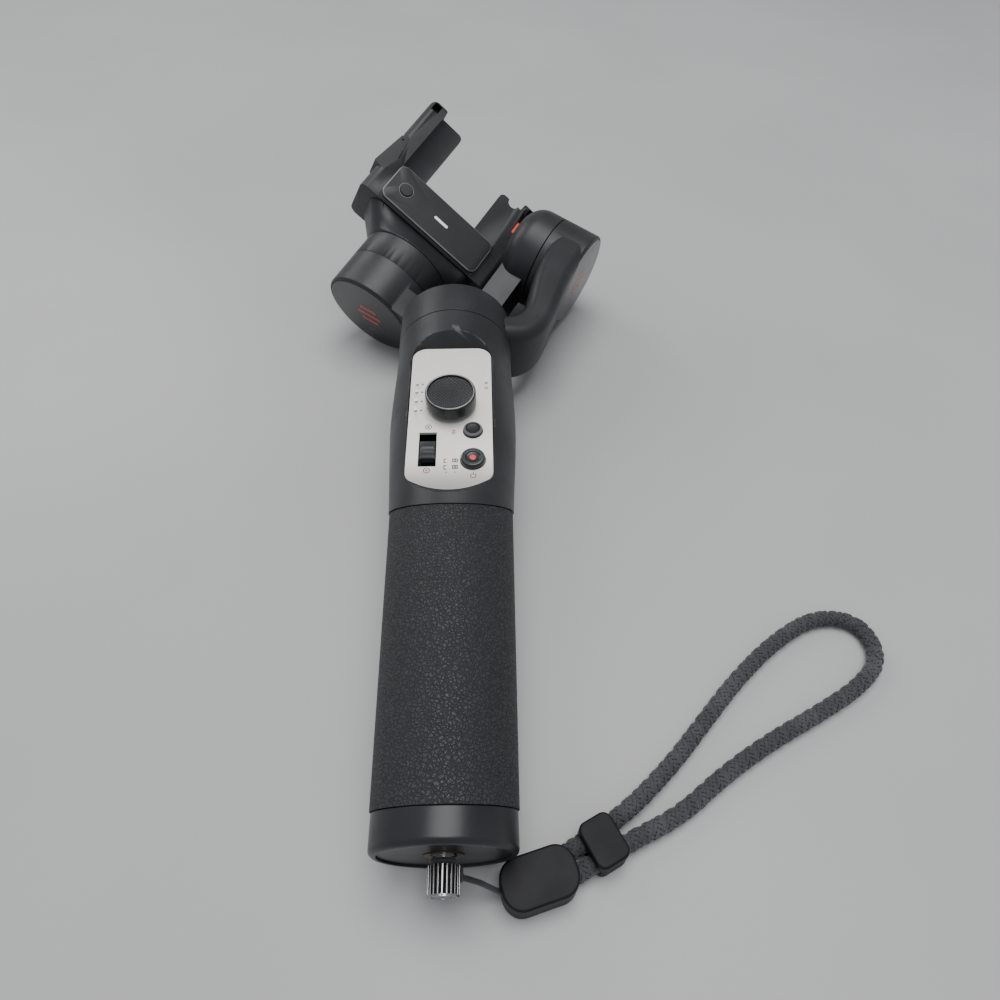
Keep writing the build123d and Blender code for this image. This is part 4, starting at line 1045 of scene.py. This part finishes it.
# ---------------------------------------------------------------- studio
@dataclass
class Studio:
    """A pale floor, soft light and the camera."""

    camera_at: tuple[float, float, float] = (8.1, -191.28, 200.8)
    pitch_down: float = 50.1
    yaw_right: float = 1.28
    lens: float = 24.95

    def camera(self) -> None:
        """Set up the camera above the base end, looking down along the handle."""
        lens = bpy.data.cameras.new("camera")
        lens.lens = self.lens
        lens.sensor_width = 36.0
        lens.clip_start = 0.01
        seat = bpy.data.objects.new("camera", lens)
        seat.location = Vector(self.camera_at) * MM
        seat.rotation_euler = (radians(90 - self.pitch_down), 0.0, -radians(self.yaw_right))
        bpy.context.scene.collection.objects.link(seat)
        bpy.context.scene.camera = seat

    def floor(self) -> None:
        """A pale satin table top that curves up behind: z = 0, then a quarter circle, then a wall."""
        paint = Paint("table_top", Roughness=0.42, Specular_IOR_Level=0.35)
        cloud = paint.noise(6.0, 3.0)
        dark, pale = (0.435, 0.435, 0.432), (0.465, 0.465, 0.462)
        paint.feed("Base Color", paint.colour(cloud.ranged(0.3, 0.7), dark, pale))
        bend = 0.45
        reach = 1.1
        angles = np.linspace(0, pi / 2, 24)
        along = np.concatenate([[-1.6], reach + bend * np.sin(angles), [reach + bend]])
        height = np.concatenate([[0.0], bend * (1 - np.cos(angles)), [2.4]])
        across = np.array([-2.2, 2.2])
        points = np.stack(
            [np.tile(across, (len(along), 1)), np.repeat(along[:, None], 2, 1), np.repeat(height[:, None], 2, 1)], -1
        )
        mesh = bpy.data.meshes.new("table")
        mesh.from_pydata(points.reshape(-1, 3).tolist(), [], grid_faces(len(along), 2, wrap=False).tolist())
        mesh.shade_smooth()
        table = bpy.data.objects.new("table", mesh)
        table.data.materials.append(paint.material)
        bpy.context.scene.collection.objects.link(table)

    def lamp(
        self, name: str, at: tuple[float, float, float], aim: tuple[float, float, float], size: float, power: float
    ) -> None:
        """A soft square lamp aimed at a point, in metres and watts.

        Args:
            name: its name.
            at: where it hangs.
            aim: where it points.
            size: its side.
            power: its power.
        """
        light = bpy.data.lights.new(name, "AREA")
        light.size = size
        light.energy = power
        lamp = bpy.data.objects.new(name, light)
        lamp.location = at
        lamp.rotation_euler = (Vector(aim) - Vector(at)).to_track_quat("-Z", "Y").to_euler()
        bpy.context.scene.collection.objects.link(lamp)

    def light(self) -> None:
        """One broad lamp overhead, a weaker one from the head end, and pale surroundings."""
        self.lamp("overhead", (0.1, 0.1, 1.3), (0.0, 0.0, 0.0), 0.9, 14.0)
        self.lamp("window", (-0.9, 0.9, 0.9), (0.0, 0.0, 0.05), 0.7, 6.0)
        world = bpy.data.worlds.new("surroundings")
        bpy.context.scene.world = world
        world.use_nodes = True
        world.node_tree.nodes["Background"].inputs["Color"].default_value = (0.9, 0.93, 1.0, 1.0)
        world.node_tree.nodes["Background"].inputs["Strength"].default_value = 0.55

    def build(self) -> None:
        """Make the camera, the floor and the lights."""
        self.camera()
        self.floor()
        self.light()
        LOG.info("studio built")


# ---------------------------------------------------------------- handle
@dataclass
class Handle:
    """Base, leather grip, upper housing and everything inside them."""

    body: str = "handle"

    def casing(self) -> None:
        """The outer shells, each with its own finish."""
        softened("base_ring", BLACK_SMOOTH, self.body, 0.3)
        softened("end_disc", BLACK_SMOOTH, self.body, 0.2)
        softened("grip_sleeve", LEATHER, self.body, 0.25)
        softened("front_shell", BLACK, self.body)
        softened("rear_shell", BLACK, self.body)
        softened("panel_plate", SILVER, self.body, 0.12)
        softened("strap_screw", SCREW_STEEL, self.body)
        softened("trigger", BLACK, "trigger_lever")
        softened("usb_cover", RUBBER, "port_cover")

    def inside(self) -> None:
        """Finishes of the pieces that the casing hides."""
        # the darker recess black on the tube and on the joystick's base and ring is painted shade
        finishes = {
            "handle_tube": BLACK_RECESS_SHADE, "battery": WRAP, "battery_holder": BLACK_SMOOTH, "key_board": CIRCUIT,
            "main_board": CIRCUIT, "motor_plate": BLACK_SMOOTH, "tripod_socket": BRASS, "usb_port": STEEL,
            "shell_screws": STEEL, "indicator_lights": LAMP_OFF, "joystick_base": BLACK_RECESS_SHADE,
            "joystick_ring": BLACK_RECESS_SHADE, "clamp_board": CIRCUIT, "clamp_pads": RUBBER, "lever_pin": BLACK_SMOOTH,
            "clamp_light": WHITE,
        }
        for node, finish in finishes.items():
            dress(frame["nodes"][node], finish)

    def build(self) -> None:
        """Dress the casing and the inner pieces."""
        self.casing()
        self.inside()


@dataclass
class Joystick:
    """A knurled, dished thumb pad on a short stem."""

    at: tuple[float, float] = (0.2, 132.7)
    radius: float = 8.4
    low: float = 1.6
    high: float = 6.5
    dish: float = 0.7
    knurl_pitch: float = 0.85
    knurl_depth: float = 0.26
    rim: float = 0.95

    def place(self) -> Place:
        """A frame on the panel's face at the joystick's middle."""
        return PANEL.within((*self.at, 0))

    def pad(self) -> None:
        """The dished top, cut by two sets of diagonal grooves.

        Height = top - dish (1 - (r/R)^2) + depth * |sin p| * |sin q|, where p and q run along the two diagonals.
        """
        inner = self.radius - self.rim
        rings, steps = 74, 220
        radius = np.linspace(0, inner, rings)[:, None]
        angle = np.linspace(0, tau, steps, endpoint=False)[None]
        x, y = radius * np.cos(angle), radius * np.sin(angle)
        p = (x + y) / np.sqrt(2) * pi / self.knurl_pitch
        q = (x - y) / np.sqrt(2) * pi / self.knurl_pitch
        fade = np.clip((inner - radius) / 0.5, 0, 1)
        knurl = self.knurl_depth * np.abs(np.sin(p)) * np.abs(np.sin(q)) * fade
        height = self.high - 0.75 - self.dish * (1 - (radius / inner) ** 2) + knurl
        points = np.stack([x + 0 * height, y + 0 * height, height + 0 * x], -1).reshape(-1, 3)
        faces = grid_faces(rings, steps)
        pad = piece_from(
            "joystick_pad", self.place().put(points), faces, BLACK_SMOOTH, "joystick_stick"
        )
        pad.data.set_sharp_from_angle(angle=radians(70))

    def cap(self) -> None:
        """The cap's rim, side wall and underside, with the stem, as one turned profile."""
        corners = [
            (self.radius - self.rim, self.high - 0.85), (self.radius - self.rim, self.high - 0.1),
            (self.radius - 0.12, self.high - 0.1), (self.radius, self.low), (2.6, self.low), (1.7, self.low - 1.4),
            (1.7, -6.3), (0.0, -6.3),
        ]
        profile = rounded_profile(corners, [0.1, 0.55, 0.45, 0.5, 0.4, 0.3])
        turned_piece("joystick_cap", self.place(), profile, BLACK_SMOOTH, "joystick_stick", 128)
        edge = rounded_profile(
            [(self.radius - self.rim - 0.02, self.high - 0.55), (self.radius - self.rim + 0.1, self.high),
             (self.radius - 0.5, self.high), (self.radius - 0.42, self.high - 0.3)], [0.12, 0.1]
        )
        turned_piece("joystick_bright_ring", self.place(), edge, STEEL, "joystick_stick", 128)

    def build(self) -> None:
        """Make the pad and cap in place of the plain joystick."""
        self.pad()
        self.cap()
        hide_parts("joystick")


@dataclass
class Keys:
    """The mode key, the record key and the zoom slider."""

    mode_at: tuple[float, float] = (7.4, 121.2)
    record_at: tuple[float, float] = (7.4, 109.2)
    slider_at: tuple[float, float] = (-7.0, 113.8)
    mode_radius: float = 3.1
    record_radius: float = 3.9
    stem_low: float = -2.9

    def mode_key(self) -> None:
        """A round key with a broad bevel and a shallow dished top; the bevel carries a pale painted highlight."""
        place = PANEL.within((*self.mode_at, 0))
        r = self.mode_radius
        corners = [(0, 1.0), (r - 1.1, 1.12), (r - 0.75, 1.5), (r, 0.8), (r, self.stem_low), (0, self.stem_low)]
        profile = rounded_profile(corners, [0.25, 0.2, 0.25, 0.1])
        key = turned_piece("mode_key_cap", place, profile, BLACK_SMOOTH, "mode_button")
        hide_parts("mode_key")
        # a thin pale shell on the bevel: painted highlight
        corners = [(r - 0.72, 1.44), (r - 0.62, 1.5), (r - 0.1, 0.98), (r - 0.06, 0.88)]
        bevel = rounded_profile(corners, [0.05, 0.05])
        turned_piece("mode_key_bevel", place, bevel, EDGE_HIGHLIGHT, "mode_button")

    def record_key(self) -> None:
        """A round key with a glassy ring round a red dot."""
        place = PANEL.within((*self.record_at, 0))
        r = self.record_radius
        corners = [
            (0, 1.15), (r - 1.75, 1.2), (r - 1.55, 1.6), (r - 0.45, 1.6), (r, 1.05), (r, self.stem_low),
            (0, self.stem_low),
        ]
        profile = rounded_profile(corners, [0.2, 0.15, 0.2, 0.25, 0.1])
        key = turned_piece("record_key_cap", place, profile, CAP_GLOSS, "record_button")
        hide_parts("record_key")
        ring = rounded_profile([(r - 1.62, 1.5), (r - 1.5, 1.68), (r - 0.5, 1.68), (r - 0.4, 1.5)], [0.06, 0.06])
        turned_piece("record_key_ring", place, ring, GLASS_RING, "record_button")
        # the dot's glow is painted light
        dot = rounded_profile([(0, 1.36), (0.95, 1.36), (1.1, 1.1)], [0.15])
        turned_piece("record_key_dot", place, dot, RED, "record_button", 48)

    def slider(self) -> None:
        """A knob with two humps and a groove between, in the dark window.

        The knob's top is base + hump * sum of two raised cosines along the handle, rolled off at the sides.
        """
        place = PANEL.within((*self.slider_at, 0))
        rows, columns = 57, 25
        half_long, half_wide = 3.5, 2.5
        v = np.linspace(-1, 1, rows)[:, None]
        u = np.linspace(-1, 1, columns)[None]
        hump = np.exp(-(((np.abs(v) * half_long - 1.75) / 0.72) ** 2))
        groove = 0.14 * np.abs(np.sin(v * half_long * pi / 0.55)) * hump
        roll = (1 - np.abs(u) ** 8) * (1 - np.abs(v) ** 10)
        top = -0.35 + (0.45 + 0.95 * hump - groove) * roll
        x = half_wide * u + 0 * v
        y = half_long * v + 0 * u
        upper = np.stack([x, y, top], -1).reshape(-1, 3)
        edge = np.concatenate([
            np.arange(columns), np.arange(1, rows) * columns + columns - 1,
            (rows - 1) * columns + np.arange(columns - 2, -1, -1), np.arange(rows - 2, 0, -1) * columns,
        ])
        lower = upper[edge] * [1, 1, 0] + [0, 0, -2.6]
        count, total = len(edge), rows * columns
        walls = [[edge[i], edge[(i + 1) % count], total + (i + 1) % count, total + i] for i in range(count)]
        faces = grid_faces(rows, columns, wrap=False).tolist() + walls + [list(range(total, total + count))]
        points = place.put(np.vstack([upper, lower]))
        knob = piece_from("zoom_knob_cap", points, faces, GREY_KNOB, "zoom_knob")
        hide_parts("zoom_slider")

    def build(self) -> None:
        """Make all three."""
        self.mode_key()
        self.record_key()
        self.slider()


@dataclass
class PanelMarks:
    """Plain printed signs beside the controls, each a thin raised film."""

    film: float = 0.035

    def ring(self, x: float, y: float, radius: float, start: float = 0.0, end: float = tau) -> list[np.ndarray]:
        """Short strokes that make a thin ring or arc.

        Args:
            x: the middle's x on the panel.
            y: the middle's y.
            radius: radius of the line.
            start: angle where it starts.
            end: angle where it ends.

        Returns:
            The strokes' outlines.
        """
        count = max(4, int(22 * (end - start) / tau))
        angles = np.linspace(start, end, count + 1)
        quads = []
        for a, b in zip(angles, angles[1:]):
            inner, outer = radius - 0.11, radius + 0.11
            quads.append(np.array([
                [x + inner * cos(a), y + inner * sin(a)], [x + outer * cos(a), y + outer * sin(a)],
                [x + outer * cos(b), y + outer * sin(b)], [x + inner * cos(b), y + inner * sin(b)],
            ]))
        return quads

    def bars(self, *bars: tuple[float, float, float, float]) -> list[np.ndarray]:
        """Rectangles given by their middles' x and y, their widths and their heights."""
        return [rectangle(*bar) for bar in bars]

    def shapes(self) -> list[np.ndarray]:
        """Every printed stroke: rings and dots at the slider, brackets, a switch sign and the lamps' signs."""
        line = 0.26
        strokes: list[np.ndarray] = []
        for x, y in ((-7.0, 123.1), (-7.0, 105.2)):
            strokes += self.ring(x, y, 0.95) + self.bars((x, y, 0.8, line))
        strokes += self.bars((-7.0, 123.1, line, 0.8))
        strokes += self.ring(7.5, 102.9, 0.85, pi / 2 + 0.55, pi / 2 + tau - 0.55)
        strokes += self.bars((7.5, 103.7, line, 0.9))
        for y in (142.3, 138.6, 134.4, 130.3):
            strokes += self.bars((-9.7, y, 0.9, 0.2), (-9.7, y + 0.35, 0.5, 0.2))
        strokes += self.ring(11.9, 140.3, 0.5)
        strokes += self.bars((1.2, 121.4, 0.9, line), (1.2, 120.7, 1.5, line), (1.2, 120.0, 0.9, line))
        for x, y in ((-0.9, 108.9), (-0.9, 106.3)):
            strokes += self.bars((x - 0.7, y, line, 1.5))
            strokes += self.bars((x - 0.35, y + 0.7, 0.8, line), (x - 0.35, y - 0.7, 0.8, line))
        for x, y in ((1.8, 109.0), (1.8, 106.4)):
            strokes += self.bars((x - 0.75, y, line, 1.2), (x + 0.75, y, line, 1.2))
            strokes += self.bars((x, y + 0.6, 1.66, line), (x, y - 0.6, 1.66, line))
            strokes += self.ring(x, y, 0.3)
        return strokes + self.bars((-0.9, 104.4, 0.36, 0.36), (1.8, 104.4, 0.36, 0.36))

    def build(self) -> None:
        """Raise all strokes just off the panel."""
        points, faces = joined([slab(outline, -FILM_ROOT, self.film) for outline in self.shapes()])
        piece_from("panel_marks", PANEL.put(points), faces, MARK, "handle")


# ---------------------------------------------------------------- head
@dataclass
class Head:
    """The pan, roll and tilt links with their motors."""

    film: float = 0.03
    cap_height: float = 17.3

    def shells(self) -> None:
        """The links' outer pieces."""
        softened("pan_ring", BLACK, "pan_link", 0.3)
        softened("pan_arm", BLACK, "pan_link")
        softened("roll_cap", CAP_GLOSS, "pan_link")
        softened("roll_neck", BLACK, "roll_link", 0.3)
        softened("roll_arm", BLACK, "roll_link")
        softened("tilt_cap", CAP_GLOSS, "roll_link")
        softened("tilt_neck", BLACK, "clamp")

    def motors(self) -> None:
        """Finishes of the motors' inner pieces."""
        for axis in ("pan", "roll", "tilt"):
            dress(frame["nodes"][f"{axis}_stator"], LAMINATE)
            dress(frame["nodes"][f"{axis}_windings"], COPPER)
            dress(frame["nodes"][f"{axis}_magnets"], STEEL)
            dress(frame["nodes"][f"{axis}_bearing"], BRIGHT_STEEL)
            dress(frame["nodes"][f"{axis}_shaft"], STEEL)

    def badge(self, name: str, place: Place, body: str) -> None:
        """A plain badge on a motor's cap: three bars.

        Args:
            name: the piece's name.
            place: the cap's frame, z out of its face.
            body: the body that it rides on.
        """
        bars = ((0.0, 4.0, 8.0, 1.7), (0.0, 0.0, 12.0, 1.7), (0.0, -4.0, 8.0, 1.7))
        points, faces = joined([slab(rectangle(*bar), -FILM_ROOT, self.film) for bar in bars])
        piece_from(name, place.put(points), faces, BADGE, body)

    def build(self) -> None:
        """Dress the three links."""
        self.shells()
        self.motors()
        self.badge("roll_badge", PAN_ROLL.within((0, 0, ROLL_SEAM + self.cap_height)), "pan_link")
        self.badge("tilt_badge", ROLL_TILT.within((0, 0, TILT_SEAM + self.cap_height)), "roll_link")


@dataclass
class Clamp:
    """The camera clamp: body, face plate, key, light, latch and lever."""

    def build(self) -> None:
        """Dress the clamp."""
        softened("clamp_body", BLACK, "clamp")
        plate = softened("clamp_plate", BLACK_SMOOTH, "clamp")
        # the plate's chamfer faces take the pale painted highlight
        plate.data.materials.append(finish_of(EDGE_HIGHLIGHT))
        for face in plate.data.polygons:
            if 0.3 < float(np.dot(face.normal, PLATE_OUT)) < 0.95:
                face.material_index = 1
        softened("latch", ORANGE, "latch_slider")
        softened("release_lever", BLACK_SMOOTH, "lever")
        softened("function_key", BLACK_SMOOTH, "function_button")
        # a thin pale ring round the function key: painted highlight
        key_place = TILT.within((-19.8, 14.9, 16.3), (1, 0, 0), (0, 1, 0))
        ring = rounded_profile([(2.97, -0.1), (3.0, 0.05), (3.3, 0.05), (3.33, -0.1)], [0.03, 0.03])
        turned_piece("function_key_ring", key_place, ring, EDGE_HIGHLIGHT, "clamp")


def main() -> None:
    """Build the studio, the strap, the handle and the head in order."""
    logging.basicConfig(level=logging.INFO, format="%(name)s: %(message)s")
    Studio().build()
    Strap().build()
    Handle().build()
    Joystick().build()
    Keys().build()
    PanelMarks().build()
    Head().build()
    Clamp().build()


if __name__ == "__main__":
    main()
